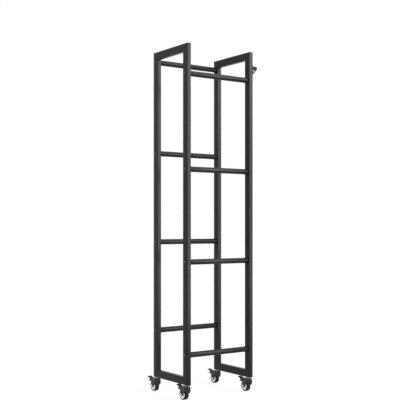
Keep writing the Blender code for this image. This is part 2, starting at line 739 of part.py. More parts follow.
def build_opener(rack, cast_iron, zinc_steel):
    """The bottle opener and its two screws on the outer face of the front right post."""
    y = -FRAME_DEPTH / 2
    add_piece("bottle_opener", opener_mesh(), cast_iron, rack, (OUTER_HALF, y, HOOD_TOP))
    screw = screw_mesh()
    for name, height in zip(("lower", "upper"), opener_screw_heights()):
        add_piece(f"opener_screw_{name}", screw, zinc_steel, rack, (OUTER_HALF, y, height))


def build_casters(rack, materials):
    """Four casters, each with a fixed stem and a swivelling fork, wheel and brake pedal."""
    meshes = {
        "stem": stem_mesh(),
        "fork": fork_mesh(),
        "axle": axle_mesh(),
        "tyre": tyre_mesh(),
        "hub": hub_mesh(),
        "brake_pedal": pedal_mesh(),
    }
    axle_place = (0, TRAIL, WHEEL_CENTRE)
    places = {
        "axle": axle_place,
        "tyre": axle_place,
        "hub": axle_place,
        "brake_pedal": (0, PIVOT_Y, PIVOT_Z),
    }
    for end_name, end in ENDS:
        for side_name, side in SIDES:
            prefix = f"{end_name}_{side_name}"
            foot = add_empty(f"{prefix}_caster", (side * FRAME_WIDTH / 2, end * FRAME_DEPTH / 2, 0))
            foot.parent = rack
            add_piece(f"{prefix}_stem", meshes["stem"], materials["stem"], foot)
            fork = add_piece(f"{prefix}_fork", meshes["fork"], materials["fork"], foot)
            for piece, place in places.items():
                add_piece(f"{prefix}_{piece}", meshes[piece], materials[piece], fork, place)


def main():
    for item in list(bpy.data.objects):
        bpy.data.objects.remove(item)

    materials = {name: make_material(name, *finish) for name, finish in FINISHES.items()}
    powder = materials["black powder coat"]
    zinc_steel = materials["zinc plated steel"]

    rack = add_empty("rack", (CENTRE_X, CENTRE_Y, 0))
    build_frame(rack, powder)
    build_bars(rack, powder, materials["blackened steel"])
    build_opener(rack, materials["black cast iron"], zinc_steel)
    build_casters(
        rack,
        {
            "stem": zinc_steel,
            "fork": materials["black nickel"],
            "axle": zinc_steel,
            "tyre": materials["black rubber"],
            "hub": materials["white plastic"],
            "brake_pedal": materials["black plastic"],
        },
    )


main()
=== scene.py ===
"""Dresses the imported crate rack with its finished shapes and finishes.

Laid out as an add-on: one operator builds each group of pieces, and one the stage. Metres,
+Z up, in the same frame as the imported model, so every piece takes its place from the model.
"""

import json
import math

import bmesh
import bpy
from bmesh.types import BMEdge, BMFace, BMVert
from bpy.props import FloatProperty, FloatVectorProperty, IntProperty, PointerProperty
from mathutils import Matrix, Vector


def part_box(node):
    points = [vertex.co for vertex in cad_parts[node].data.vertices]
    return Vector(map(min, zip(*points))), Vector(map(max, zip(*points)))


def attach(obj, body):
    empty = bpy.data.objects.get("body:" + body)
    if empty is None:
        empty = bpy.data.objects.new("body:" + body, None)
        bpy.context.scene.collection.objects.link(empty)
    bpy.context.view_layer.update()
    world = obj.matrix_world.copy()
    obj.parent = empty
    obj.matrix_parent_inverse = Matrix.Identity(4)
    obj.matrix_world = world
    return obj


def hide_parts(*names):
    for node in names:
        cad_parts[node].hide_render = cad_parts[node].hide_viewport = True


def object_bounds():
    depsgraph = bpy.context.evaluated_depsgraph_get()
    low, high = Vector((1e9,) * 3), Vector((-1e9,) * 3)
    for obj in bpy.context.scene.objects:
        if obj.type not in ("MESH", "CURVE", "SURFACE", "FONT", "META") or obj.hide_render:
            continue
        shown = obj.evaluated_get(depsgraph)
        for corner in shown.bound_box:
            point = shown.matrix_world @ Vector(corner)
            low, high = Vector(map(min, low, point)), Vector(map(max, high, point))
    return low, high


bl_info = {
    "name": "Crate Rack",
    "version": (1, 0, 0),
    "blender": (4, 5, 0),
    "location": "3D View > Sidebar > Crate Rack",
    "description": "Builds the finished pieces of a rolling crate rack around its packed model",
    "category": "Object",
}

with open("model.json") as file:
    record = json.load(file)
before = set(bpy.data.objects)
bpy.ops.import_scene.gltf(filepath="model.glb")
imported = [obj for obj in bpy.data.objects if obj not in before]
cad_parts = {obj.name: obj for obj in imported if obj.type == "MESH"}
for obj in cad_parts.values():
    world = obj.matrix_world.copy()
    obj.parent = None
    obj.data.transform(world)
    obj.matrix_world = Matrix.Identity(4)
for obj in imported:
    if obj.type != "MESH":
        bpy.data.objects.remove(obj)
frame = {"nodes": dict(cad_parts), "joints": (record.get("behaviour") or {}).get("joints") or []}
cad_low, cad_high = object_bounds()

JOINTS = {joint["name"]: joint for joint in frame["joints"]}
SIDES = (("left", -1), ("right", 1))
ENDS = ("front", "rear")
CASTERS = [f"{end}_{side}" for end in ENDS for side, _ in SIDES]
LEVELS = range(1, 1 + sum(name.startswith("front_bar_") for name in frame["nodes"]))

# Fineness of the round forms
TYRE_SIDES = 96
FINE_SIDES = 64
SMALL_SIDES = 48
ROUNDING_STEPS = 4
CORNER_STEPS = 8
NOSE_STEPS = 20
BEAD_SIDES, BEAD_RINGS = 14, 30
RIB_SIDES, RIB_RINGS = 16, 10
SHARP = math.radians(32)
FLAT = math.radians(1)
MERGE = 1e-6
SQUARE_ON = 0.99  # least share of a normal along an axis, for a face square to it
LEANING = 0.5  # least share of a normal up or down, for a face that isn't a wall

# Roundings and gaps, in metres
HAIRLINE_EDGE = 0.0002
FINE_EDGE = 0.0003
SLIGHT_EDGE = 0.0004
SOFT_EDGE = 0.0005
ROUND_EDGE = 0.0006
FULL_EDGE = 0.0008
GAP = 0.0003

# Weld beads
BEAD_RIPPLE, BEAD_WAVES = 0.09, 11
BEAD_BLUNTNESS, BEAD_TIP = 0.22, 0.98  # how full the ends are, up to this share of the length
BEAD_INSET = 0.6  # how far a bead's end keeps from the tube's side, in corner radii

# Screw heads from the rim up: shares of the radius, of the height and, as rounding, of the height
BUTTON_HEAD = ((1.0, 0.22, 0.15), (0.93, 0.62, 0.2), (0.62, 1.0, 0.0))
PAN_HEAD = ((1.0, 0.45, 0.15), (0.93, 0.62, 0.2), (0.72, 1.0, 0.0))
HEXAGON, SLOT = 6, 4  # corners of a drive
TIP_SHARE, TIP_CHAMFER = 0.8, 0.25  # a screw's tip and its chamfer, in shank radii
DRILL_SHARE = 0.2  # depth of the drill point under the drive, in slot widths or hexagon radii
BOLT_TURN = 1.7  # angle between the sockets of two levels

# Stems, in metres
STEM_SHANK = 0.004
STEM_FOOT, STEM_FOOT_HEIGHT = 0.006, 0.0016
FLANGE_HEIGHT = 0.0016
COLLAR_FOOT, COLLAR_TOP, COLLAR_HEIGHT = 0.0085, 0.0078, 0.0014
THREAD_PITCH, THREAD_DEPTH = 0.00125, 0.00045

# The fork's hood: shares of its radius, of its depth and, as rounding, of its radius
HOOD_OUTLINE = (
    (0.0, 0.0, 0.0),
    (0.58, 0.0, 0.0),
    (0.81, 0.045, 0.1),
    (0.965, 0.2, 0.14),
    (1.0, 0.55, 0.15),
    (0.94, 0.8, 0.1),
    (0.82, 1.0, 0.0),
)
SLOT_EASE = 0.0002  # from a leg's inner face to the slot for the wheel
CROWN_SUNK, CROWN_DEPTH = 0.001, 0.0077  # the solid crown's top and underside, under the hood's top
CROWN_FOOT, CROWN_HEAD = 0.8, 0.6  # its radii there, as shares of the hood's
# A leg's top: its depth and its front corner's depth under the crown's top, how far it stands in
# front of the axis, and how far its rear keeps inside the flat top's
LEG_SUNK, LEG_KNEE, LEG_FRONT, LEG_INSET = 0.004, 0.018, 0.002, 0.0006

# The fork's flat top: share of its reach, metres further back, metres under the crown's top
BRIDGE_OUTLINE = (
    (0, 0.0, 0.0006),
    (1, -0.0025, 0.0006),
    (1, 0.0, 0.0022),
    (1, 0.0, 0.0055),
    (0, 0.012, 0.0074),
    (0, 0.0, 0.0074),
)
BRIDGE_INSET, BRIDGE_EDGE = 0.0001, 0.0009

# The pedal's pins; a head's rows are its radius, metres out of the leg's face and rounding
PIN_RADIUS, PIN_TAIL = 0.0018, 0.0036
PIN_HEAD = (
    (PIN_RADIUS, -0.0004, 0.0),
    (0.0032, -0.0004, 0.0),
    (0.0032, 0.0002, HAIRLINE_EDGE),
    (PIN_RADIUS, 0.0009, FINE_EDGE),
    (0, 0.001, 0.0),
)

# Axles and hubs, in metres
AXLE_HEAD_STEPS = 3
AXLE_TAIL = 0.0005  # how far the shank reaches into the head
AXLE_END, AXLE_TAPER = 0.0003, 0.0002  # how far it stands out of the nut, and its taper there
HUB_SUNK = 0.0006  # the hub's rim inside the tyre's side
RIB_SUNK = 0.0022  # a rib's end inside the edge next to it
RIB_BITE = 0.001  # how far a hub's rib reaches into rim and boss together

# Pedals, in metres; points are (back, up) from the pivot
PEDAL_BARREL, PEDAL_BORE = 0.0034, 0.0021
ARM_TAPER = 0.0006  # how much thinner the arm is at the barrel
TREAD_ROOT, TREAD_LIP = 0.002, 0.0001  # how far the tread reaches into the arm and stands over it
TREAD_NOSE = 0.0006  # fall of the tread's face at its tip
TREAD_RIB = 0.0006  # radius of a grip rib
# Shoe and release prong: where they leave the arm, their lower points, and how far inside its sides
PEDAL_FEET = (
    (0.005, 0.017, ((0.005, -0.0014), (0.009, -0.0031)), 0.0008),
    (0.015, 0.0215, ((0.017, -0.0017), (0.026, -0.0115), (0.0273, -0.0102)), 0.003),
)

# Lamps: name, place from the rack's middle, width and height
LAMPS = (
    ("key", (1.4, -2.45, 0.15), (0.9, 2.8)),
    ("high", (1.6, -1.8, 1.6), (1.1, 1.6)),
    ("fill", (-2.9, -0.8, 1.2), (1.4, 1.4)),
    ("top", (0.1, -0.3, 2.2), (1.6, 1.6)),
)
WHITE = {"Color": (1.0, 1.0, 1.0), "Strength": 1.0}


def length(name, description, default):
    """A size that a user may change."""
    return FloatProperty(
        name=name, description=description, default=default, min=0.0, precision=5, unit="LENGTH"
    )


def colour(name, description, default):
    """A colour that a user may change."""
    return FloatVectorProperty(
        name=name, description=description, default=default, min=0.0, max=1.0, subtype="COLOR"
    )


def count(name, description, default, least):
    """A number of ribs that a user may change."""
    return IntProperty(name=name, description=description, default=default, min=least)


def power(name, description, default):
    """A lamp's power that a user may change."""
    return FloatProperty(name=name, description=description, default=default, unit="POWER")


class RackTubeSettings(bpy.types.PropertyGroup):
    corner: length("Corner", "Outer corner radius of the rectangular tube", 0.003)
    wall: length("Wall", "Wall thickness of the rectangular tube", 0.0015)
    seam: length("Seam", "Width of the line left between two mitred tubes", 0.00012)
    tip_ease: length("Tip Ease", "How far each outer corner of a side frame is filed back", 0.0004)
    bead: length("Weld Bead", "Radius of the weld in each inner corner", 0.0015)
    bar_radius: length("Bar Radius", "Outer radius of the round cross bars", 0.0125)
    bar_wall: length("Bar Wall", "Wall thickness of the cross bars", 0.0015)
    bar_plug: length("Bar Plug", "Length of the threaded plug in each end of a bar", 0.014)
    bar_bore: length("Bar Bore", "Radius of the threaded hole in a bar's end", 0.0033)
    bar_ease: length("Bar Ease", "Rounding of the bars' ends", 0.0006)


class RackBoltSettings(bpy.types.PropertyGroup):
    shank: length("Shank", "Radius of a bar bolt's shank", 0.003)
    head: length("Head", "Radius of a bar bolt's button head", 0.00525)
    head_height: length("Head Height", "Height of a bar bolt's button head", 0.0033)
    socket: length("Socket", "Radius over the corners of the hexagon socket", 0.00231)
    socket_depth: length("Socket Depth", "Depth of the hexagon socket", 0.0019)
    screw_shank: length("Screw Shank", "Radius of an opener screw's shank", 0.002)
    screw_head: length("Screw Head", "Radius of an opener screw's pan head", 0.0038)
    screw_height: length("Screw Head Height", "Height of an opener screw's pan head", 0.0024)
    slot_width: length("Slot Width", "Width of the slot in an opener screw", 0.001)
    slot_length: length("Slot Length", "Length of the slot in an opener screw", 0.0056)
    slot_depth: length("Slot Depth", "Depth of the slot in an opener screw", 0.0009)


class RackOpenerSettings(bpy.types.PropertyGroup):
    plate_width: length("Plate Width", "Width of the opener's back plate", 0.026)
    plate_thickness: length("Plate Thickness", "Thickness of the opener's back plate", 0.003)
    plate_corner: length("Plate Corner", "Corner radius of the back plate", 0.005)
    plate_over_hood: length("Plate Over Hood", "How far the plate stands over the hood", 0.0155)
    hood_height: length("Hood Height", "Height of the hood along the post", 0.0355)
    hood_nose: length("Hood Nose", "Height of the hood's nose", 0.0035)
    hood_fall: length("Hood Fall", "How far the hood's roof falls towards its nose", 0.001)
    hood_wall: length("Hood Wall", "Thickness of the hood's cast wall", 0.003)
    window_near: length("Window Near", "Side windows' near edge from the post", 0.0028)
    window_far: length("Window Far", "Side windows' far edge from the post", 0.0095)
    window_top: length("Window Top", "Upper edge of the side windows under the hood's top", 0.015)
    window_strap: length("Window Strap", "Metal between a window and the hood's rim", 0.0035)
    edge: length("Edge", "Rounding of the casting's edges", 0.0008)


class RackCasterSettings(bpy.types.PropertyGroup):
    tyre_thickness: length("Tyre Thickness", "Thickness of the tyre", 0.0062)
    tyre_shoulder: length("Tyre Shoulder", "Rounding of the tread's edges", 0.0034)
    parting: length("Parting Line", "Height of the moulding line round the tread", 0.00015)
    parting_width: length("Parting Width", "Width of the moulding line", 0.0005)
    hub_rim: length("Hub Rim", "Thickness of the hub's rim", 0.0028)
    hub_web: length("Hub Web", "Thickness of the hub's disc", 0.0045)
    hub_boss: length("Hub Boss", "Radius of the hub's boss", 0.0065)
    hub_ribs: count("Hub Ribs", "Stiffening ribs on each face of the hub", 6, 3)
    rib: length("Rib", "Thickness of the hub's ribs", 0.0012)
    axle: length("Axle", "Radius of the axle bolt", 0.003)
    axle_head: length("Axle Head", "Radius over the corners of the axle's head and nut", 0.0052)
    axle_head_height: length("Axle Head Height", "Height of the axle's head and nut", 0.0028)
    leg_inner: length("Leg Inner", "Inner face of a fork leg from the middle", 0.0115)
    leg: length("Leg", "Thickness of the fork's legs", 0.002)
    leg_boss: length("Leg Boss", "Radius of a leg's end round the axle", 0.008)
    ear: length("Ear", "Radius of a leg's ear round the pedal's pivot", 0.0045)
    hood_wall: length("Hood Wall", "Thickness of the fork's pressed hood", 0.0018)
    hood_front: length("Hood Front", "Depth of the hood in front, under the crown", 0.0334)
    hood_rear: length("Hood Rear", "Depth of the hood at the rear, under the crown", 0.0104)
    bridge_reach: length("Bridge Reach", "How far the fork's flat top reaches back", 0.0255)
    pedal_thickness: length("Pedal Thickness", "Thickness of the brake pedal", 0.0026)
    tread_width: length("Tread Width", "Width of the pedal's tread", 0.021)
    tread_length: length("Tread Length", "Length of the pedal's tread", 0.027)
    tread_rise: length("Tread Rise", "Height of the tread's tip over the pedal's pivot", 0.011)
    tread_ribs: count("Tread Ribs", "Grip ribs across the pedal's tread", 6, 0)


class RackFinishSettings(bpy.types.PropertyGroup):
    powder: colour("Powder Coat", "Tubes and bars", (0.005, 0.005, 0.0054))
    powder_light: colour(
        "Powder Coat, Light", "Lighter clouds in the coat", (0.0095, 0.0095, 0.0101)
    )
    bolt: colour("Blackened Steel", "Bar bolts", (0.09, 0.09, 0.093))
    casting: colour("Casting", "Painted cast iron of the opener", (0.004, 0.004, 0.0043))
    zinc: colour("Zinc", "Stems, axles and opener screws", (0.55, 0.56, 0.58))
    fork: colour("Black Nickel", "Forks", (0.034, 0.034, 0.036))
    tyre: colour("Tyre", "Rubber of the tyres", (0.004, 0.004, 0.0043))
    hub: colour("Hub", "White plastic of the hubs", (0.92, 0.92, 0.91))
    pedal: colour("Pedal", "Black plastic of the brake pedals", (0.008, 0.008, 0.0088))
    grain: length("Grain", "Size of the powder coat's pebbles", 0.0009)


class RackStageSettings(bpy.types.PropertyGroup):
    camera: FloatVectorProperty(
        name="Camera",
        description="Where the camera stands",
        default=(-2.27795, -3.2464, 0.7821),
        subtype="TRANSLATION",
        unit="LENGTH",
    )
    turn: FloatProperty(
        name="Turn",
        description="The level camera's turn to the right of the rack's depth",
        default=math.radians(34.91),
        subtype="ANGLE",
    )
    lens: FloatProperty(name="Lens", description="Focal length in mm", default=75.0)
    shift: FloatProperty(
        name="Shift", description="Upward shift of the level camera", default=0.0649
    )
    daylight: FloatProperty(
        name="Daylight", description="Strength of the even light from all round", default=0.6
    )
    floor: colour("Floor", "Colour of the floor", (0.88, 0.88, 0.88))
    floor_size: length("Floor Size", "Length of the floor's side", 40.0)
    key_power: power("Key", "Power of the tall lamp on the right", 78.0)
    high_power: power("High", "Power of the lamp high on the right", 41.0)
    fill_power: power("Fill", "Power of the lamp on the left", 48.0)
    top_power: power("Top", "Power of the lamp overhead", 30.0)


SETTINGS = (
    ("rack_tubes", RackTubeSettings),
    ("rack_bolts", RackBoltSettings),
    ("rack_opener", RackOpenerSettings),
    ("rack_casters", RackCasterSettings),
    ("rack_finishes", RackFinishSettings),
    ("rack_stage", RackStageSettings),
)


class Wire:
    """A shader socket in an expression; arithmetic on it adds Math nodes."""

    def __init__(self, finish, socket):
        self.finish = finish
        self.socket = socket

    def __add__(self, other):
        return self.finish.maths("ADD", self, other)

    def __mul__(self, other):
        return self.finish.maths("MULTIPLY", self, other)

    __radd__ = __add__
    __rmul__ = __mul__


class Finish:
    """A node tree under construction."""

    def __init__(self, tree):
        self.tree = tree

    def node(self, kind, settings=(), inputs=(), output=0):
        """Adds a node; settings are set first, then its shown inputs by name or number."""
        node = self.tree.nodes.new(kind)
        for name, value in dict(settings).items():
            if name == "stops":
                self.set_stops(node.color_ramp, value)
            else:
                setattr(node, name, value)
        shown = [socket for socket in node.inputs if socket.enabled]
        for key, value in dict(inputs).items():
            self.feed(node.inputs[key] if isinstance(key, str) else shown[key], value)
        given = [socket for socket in node.outputs if socket.enabled]
        return Wire(self, node.outputs[output] if isinstance(output, str) else given[output])

    def set_stops(self, ramp, stops):
        """Gives a colour ramp its grey stops, as (place, level) pairs."""
        for extra in range(len(stops) - len(ramp.elements)):
            ramp.elements.new((extra + 1) / len(stops))
        for element, (place, level) in zip(ramp.elements, stops):
            element.position = place
            element.color = (level, level, level, 1.0)

    def feed(self, socket, value):
        """Links a wire to a socket, or sets its value."""
        if isinstance(value, Wire):
            self.tree.links.new(value.socket, socket)
        elif socket.type == "RGBA" and len(value) == 3:
            socket.default_value = (*value, 1.0)
        else:
            socket.default_value = value

    def maths(self, operation, *values):
        """A Math node on wires and numbers."""
        return self.node("ShaderNodeMath", {"operation": operation}, enumerate(values))

    def blend(self, share, first, second):
        """A colour between two colours."""
        inputs = {0: share, 1: tuple(first), 2: tuple(second)}
        return self.node("ShaderNodeMix", {"data_type": "RGBA"}, inputs)

    def ramp(self, wire, *stops):
        """A wire sent through grey stops."""
        return self.node("ShaderNodeValToRGB", {"stops": stops}, {0: wire})


class Surface(Finish):
    """A material whose patterns are measured in metres on the piece itself."""

    def __init__(self, name):
        self.material = bpy.data.materials.new(name)
        self.material.use_nodes = True
        super().__init__(self.material.node_tree)
        self.shader = self.tree.nodes["Principled BSDF"]
        self.place = self.node("ShaderNodeTexCoord", output="Object")

    def noise(self, size, detail=2.0, stretch=(1.0, 1.0, 1.0)):
        """Cloudy noise whose lumps are about this size."""
        place = self.place
        if stretch != (1.0, 1.0, 1.0):
            place = self.node("ShaderNodeMapping", {}, {"Vector": place, "Scale": stretch})
        inputs = {"Vector": place, "Scale": 1.0 / size, "Detail": detail}
        return self.node("ShaderNodeTexNoise", {}, inputs)

    def cells(self, size, smooth=0.4):
        """Round lumps about this far apart."""
        settings = {"feature": "SMOOTH_F1"}
        inputs = {"Vector": self.place, "Scale": 1.0 / size, "Smoothness": smooth}
        return self.node("ShaderNodeTexVoronoi", settings, inputs)

    def relief(self, height, depth, strength=1.0):
        """Raises the surface by depth where height is 1."""
        inputs = {"Height": height, "Distance": depth, "Strength": strength}
        self.set(normal=self.node("ShaderNodeBump", {}, inputs))

    def set(self, **values):
        """Sets or links the shader's sockets, named with underscores."""
        names = {socket.name.lower().replace(" ", "_"): socket for socket in self.shader.inputs}
        for name, value in values.items():
            self.feed(names[name], value)


def tinted(base, *factors):
    """A colour with all its channels scaled by one factor, or each by its own."""
    if len(factors) == 1:
        factors *= 3
    return tuple(channel * factor for channel, factor in zip(base, factors))


def powder_coat(surface, finishes):
    """Black powder coat: a fine pebbled skin, faintly cloudy."""
    cloud = surface.noise(0.09, 4.0)
    pebbles = surface.noise(finishes.grain, 2.0)
    specks = surface.noise(finishes.grain * 0.35, 1.0)
    tone = surface.blend(cloud * 0.8 + specks * 0.2, finishes.powder, finishes.powder_light)
    surface.set(base_color=tone, specular_ior_level=0.13)
    surface.set(roughness=0.24 + cloud * 0.06 + pebbles * 0.06)
    surface.relief(pebbles * 0.75 + specks * 0.25, 0.00005, 0.4)


def blackened_steel(surface, finishes):
    """Chemically blackened bolts, with a faint brown bloom and turning marks."""
    bloom = surface.noise(0.003, 3.0)
    marks = surface.noise(0.0004, 2.0)
    brown = tinted(finishes.bolt, 1.5, 1.3, 1.1)
    surface.set(base_color=surface.blend(bloom, finishes.bolt, brown), metallic=0.85)
    surface.set(roughness=0.28 + bloom * 0.14 + marks * 0.06)
    surface.relief(marks, 0.00002, 0.4)


def painted_casting(surface, finishes):
    """Black painted cast iron: sand grain under the paint, thinner and greyer on high spots."""
    swell = surface.noise(0.006, 3.0)
    sand = surface.cells(0.0012)
    fine = surface.noise(0.0005, 2.0)
    worn = tinted(finishes.casting, 2.2)
    surface.set(base_color=surface.blend(sand * 0.5 + swell * 0.3, finishes.casting, worn))
    surface.set(roughness=0.42 + swell * 0.16 + fine * 0.08, specular_ior_level=0.12)
    surface.relief(sand * 0.5 + fine * 0.2 + swell * 0.3, 0.00022, 0.6)


def zinc_plate(surface, finishes):
    """Bright zinc plate, slightly clouded blue and straw."""
    cloud = surface.noise(0.004, 3.0)
    scratch = surface.noise(0.0009, 2.0, (1.0, 1.0, 9.0))
    straw = tinted(finishes.zinc, 1.08, 1.0, 0.86)
    surface.set(base_color=surface.blend(cloud, finishes.zinc, straw), metallic=1.0)
    surface.set(roughness=0.22 + cloud * 0.12 + scratch * 0.08)
    surface.relief(scratch, 0.00001, 0.4)


def black_nickel(surface, finishes):
    """Dark glossy plate on the pressed forks, with soft press marks."""
    press = surface.noise(0.012, 2.0)
    haze = surface.noise(0.0022, 3.0)
    deep = tinted(finishes.fork, 0.7)
    surface.set(base_color=surface.blend(haze, deep, finishes.fork), metallic=0.9)
    surface.set(roughness=0.1 + haze * 0.08 + press * 0.05)
    surface.relief(press, 0.00005, 0.25)


def tyre_rubber(surface, finishes):
    """Black rubber, matt, dusty grey where it has rolled."""
    dust = surface.ramp(surface.noise(0.007, 4.0), (0.45, 0.0), (0.75, 1.0))
    skin = surface.noise(0.0006, 2.0)
    dusty = tinted(finishes.tyre, 1.9)
    surface.set(base_color=surface.blend(dust * 0.6, finishes.tyre, dusty))
    surface.set(roughness=0.32 + dust * 0.12 + skin * 0.08, specular_ior_level=0.13)
    surface.relief(skin, 0.00005, 0.5)


def hub_plastic(surface, finishes):
    """White moulded plastic with a slight satin unevenness."""
    flow = surface.noise(0.008, 3.0)
    skin = surface.noise(0.0007, 1.0)
    creamy = tinted(finishes.hub, 0.97, 0.955, 0.92)
    surface.set(base_color=surface.blend(flow, finishes.hub, creamy))
    surface.set(roughness=0.3 + flow * 0.1 + skin * 0.05)
    surface.relief(skin, 0.00003, 0.35)


def pedal_plastic(surface, finishes):
    """Black moulded plastic with a spark-eroded grain."""
    grain = surface.cells(0.0005, 0.6)
    scuff = surface.ramp(surface.noise(0.004, 4.0), (0.5, 0.0), (0.8, 1.0))
    pale = tinted(finishes.pedal, 2.0)
    surface.set(base_color=surface.blend(scuff * 0.5, finishes.pedal, pale))
    surface.set(roughness=0.36 + grain * 0.12 + scuff * 0.1, specular_ior_level=0.25)
    surface.relief(grain, 0.00004, 0.5)


RECIPES = {
    "powder_coat": powder_coat,
    "black_steel": blackened_steel,
    "cast_iron": painted_casting,
    "zinc_steel": zinc_plate,
    "black_nickel": black_nickel,
    "tyre": tyre_rubber,
    "white_plastic": hub_plastic,
    "black_plastic": pedal_plastic,
}
mixed = {}


def finish_for(slot):
    """The material of one of the record's slots, made once."""
    if slot not in mixed:
        surface = Surface(RECIPES[slot].__name__)
        RECIPES[slot](surface, bpy.context.scene.rack_finishes)
        mixed[slot] = surface.material
    return mixed[slot]


def only(kind, items):
    """The items of one kind among those that a bmesh operator returns."""
    return [item for item in items if isinstance(item, kind)]


def tidy(bm):
    """Merges doubles and turns every face outwards."""
    bmesh.ops.remove_doubles(bm, verts=bm.verts, dist=MERGE)
    bmesh.ops.recalc_face_normals(bm, faces=bm.faces)
    return bm


def bevelled(bm, geom, offset, steps, affect):
    """Rounds edges, or the corners of a flat outline."""
    bmesh.ops.bevel(
        bm,
        geom=geom,
        offset=offset,
        segments=steps,
        profile=0.5,
        affect=affect,
        clamp_overlap=affect == "EDGES",
        material=-1,
    )
    return bm


def soften(bm, offset, steps=2):
    """Rounds every sharp edge."""
    pairs = [edge for edge in bm.edges if len(edge.link_faces) == 2]
    sharp = [edge for edge in pairs if edge.calc_face_angle(0.0) > SHARP]
    return bevelled(bm, sharp, offset, steps, "EDGES")


def round_corners(bm, corners, radius, steps=ROUNDING_STEPS):
    """Rounds corners of a flat outline."""
    return bevelled(bm, corners, radius, steps, "VERTICES")


def spun(profile, sides=FINE_SIDES):
    """A shape turned about Z; profile is (radius, height, rounding).

    A profile with both its ends off the axis is closed.
    """
    bm = bmesh.new()
    corners = [bm.verts.new((radius, 0, height)) for radius, height, _ in profile]
    chain = list(zip(corners, corners[1:]))
    if profile[0][0] > 0 and profile[-1][0] > 0:
        chain.append((corners[-1], corners[0]))
    for pair in chain:
        bm.edges.new(pair)
    for rounding in sorted({row[2] for row in profile if row[2]}):
        picked = [corner for corner, row in zip(corners, profile) if row[2] == rounding]
        round_corners(bm, picked, rounding)
    whole = bm.verts[:] + bm.edges[:]
    bmesh.ops.spin(bm, geom=whole, axis=(0, 0, 1), angle=2 * math.pi, steps=sides, use_merge=True)
    return tidy(bm)


def moved(bm, matrix):
    """Moves, turns or scales a whole shape."""
    bmesh.ops.transform(bm, matrix=matrix, verts=bm.verts)
    return bm


def laid_along_x(bm, centre=(0, 0, 0)):
    """Turns a shape made about Z so that its +Z points to +X."""
    return moved(bm, Matrix.Translation(centre) @ Matrix.Rotation(math.pi / 2, 4, "Y"))


def scored(bm, point, normal, drop=False):
    """Cuts the faces where a plane crosses them, and returns the edges of the cut."""
    made = bmesh.ops.bisect_plane(
        bm,
        geom=bm.verts[:] + bm.edges[:] + bm.faces[:],
        dist=MERGE,
        plane_co=point,
        plane_no=normal,
        clear_outer=drop,
    )
    return only(BMEdge, made["geom_cut"])


def parted(bm, point, normal):
    """Cuts a shape by a plane and drops what is on the normal's side; returns the cut's edges."""
    return scored(bm, point, normal, drop=True)


def extruded(bm, step):
    """Pulls a flat shape out into a solid."""
    made = bmesh.ops.extrude_face_region(bm, geom=bm.faces[:])
    bmesh.ops.translate(bm, vec=step, verts=only(BMVert, made["geom"]))
    return tidy(bm)


def walled(bm, wall):
    """Gives an open skin its wall, inwards; its highest face is the one that looks up."""
    roof = max(bm.faces, key=lambda face: face.calc_center_median().z)
    if roof.normal.z < 0:
        bmesh.ops.reverse_faces(bm, faces=bm.faces)
    bmesh.ops.solidify(bm, geom=bm.faces[:], thickness=wall)
    return tidy(bm)


def rectangle(width, depth, corner):
    """A flat rectangle about the origin, with round corners."""
    bm = bmesh.new()
    bmesh.ops.create_grid(bm, x_segments=1, y_segments=1, size=0.5)
    bmesh.ops.scale(bm, vec=(width, depth, 1), verts=bm.verts)
    return round_corners(bm, bm.verts[:], corner, CORNER_STEPS)


def as_mesh(bm):
    """Turns a shape into a mesh and frees it."""
    mesh = bpy.data.meshes.new("shape")
    bm.to_mesh(mesh)
    bm.free()
    return mesh


def gathered(first, *others):
    """Puts several closed shapes in one mesh, each its own skin."""
    for other in others:
        mesh = as_mesh(other)
        first.from_mesh(mesh)
        bpy.data.meshes.remove(mesh)
    return first


def hull(edge, *parts):
    """The skin round several simple shapes, its flat faces whole and its edges rounded."""
    bm = gathered(*parts)
    made = bmesh.ops.convex_hull(bm, input=bm.verts[:])
    spare = [item for item in made["geom_interior"] + made["geom_unused"] if item.is_valid]
    bmesh.ops.delete(bm, geom=only(BMVert, spare), context="VERTS")
    skin = set(only(BMFace, made["geom"]))
    inside = [face for face in bm.faces if face not in skin]
    bmesh.ops.delete(bm, geom=inside, context="FACES_ONLY")
    loose = [line for line in bm.edges if not line.link_faces]
    bmesh.ops.delete(bm, geom=loose, context="EDGES")
    tidy(bm)
    bmesh.ops.dissolve_limit(bm, angle_limit=FLAT, verts=bm.verts, edges=bm.edges)
    return soften(bm, edge)


def drum(sides, radius, height):
    """A plain prism or cylinder about Z, centred."""
    bm = bmesh.new()
    bmesh.ops.create_cone(
        bm, cap_ends=True, segments=sides, radius1=radius, radius2=radius, depth=height
    )
    return bm


def disc(radius, low, high, y, z):
    """A plain short cylinder along X, to be built into something else."""
    return laid_along_x(drum(SMALL_SIDES, radius, high - low), ((low + high) / 2, y, z))


def wedge(points, half, edge):
    """A convex bar along X, centred, whose side view is these (y, z) points."""
    bm = bmesh.new()
    for x in (-half, half):
        for y, z in points:
            bm.verts.new((x, y, z))
    return hull(edge, bm)


def united(first, *others):
    """Grows several closed shapes into one closed skin."""
    meshes = [as_mesh(bm) for bm in (first, *others)]
    items = [bpy.data.objects.new("shape", mesh) for mesh in meshes]
    for item in items:
        bpy.context.scene.collection.objects.link(item)
    for other in items[1:]:
        modifier = items[0].modifiers.new("unite", "BOOLEAN")
        modifier.operation = "UNION"
        modifier.solver = "EXACT"
        modifier.object = other
    graph = bpy.context.evaluated_depsgraph_get()
    result = bpy.data.meshes.new_from_object(items[0].evaluated_get(graph))
    bm = bmesh.new()
    bm.from_mesh(result)
    for item in items:
        bpy.data.objects.remove(item)
    for mesh in meshes + [result]:
        bpy.data.meshes.remove(mesh)
    return tidy(bm)


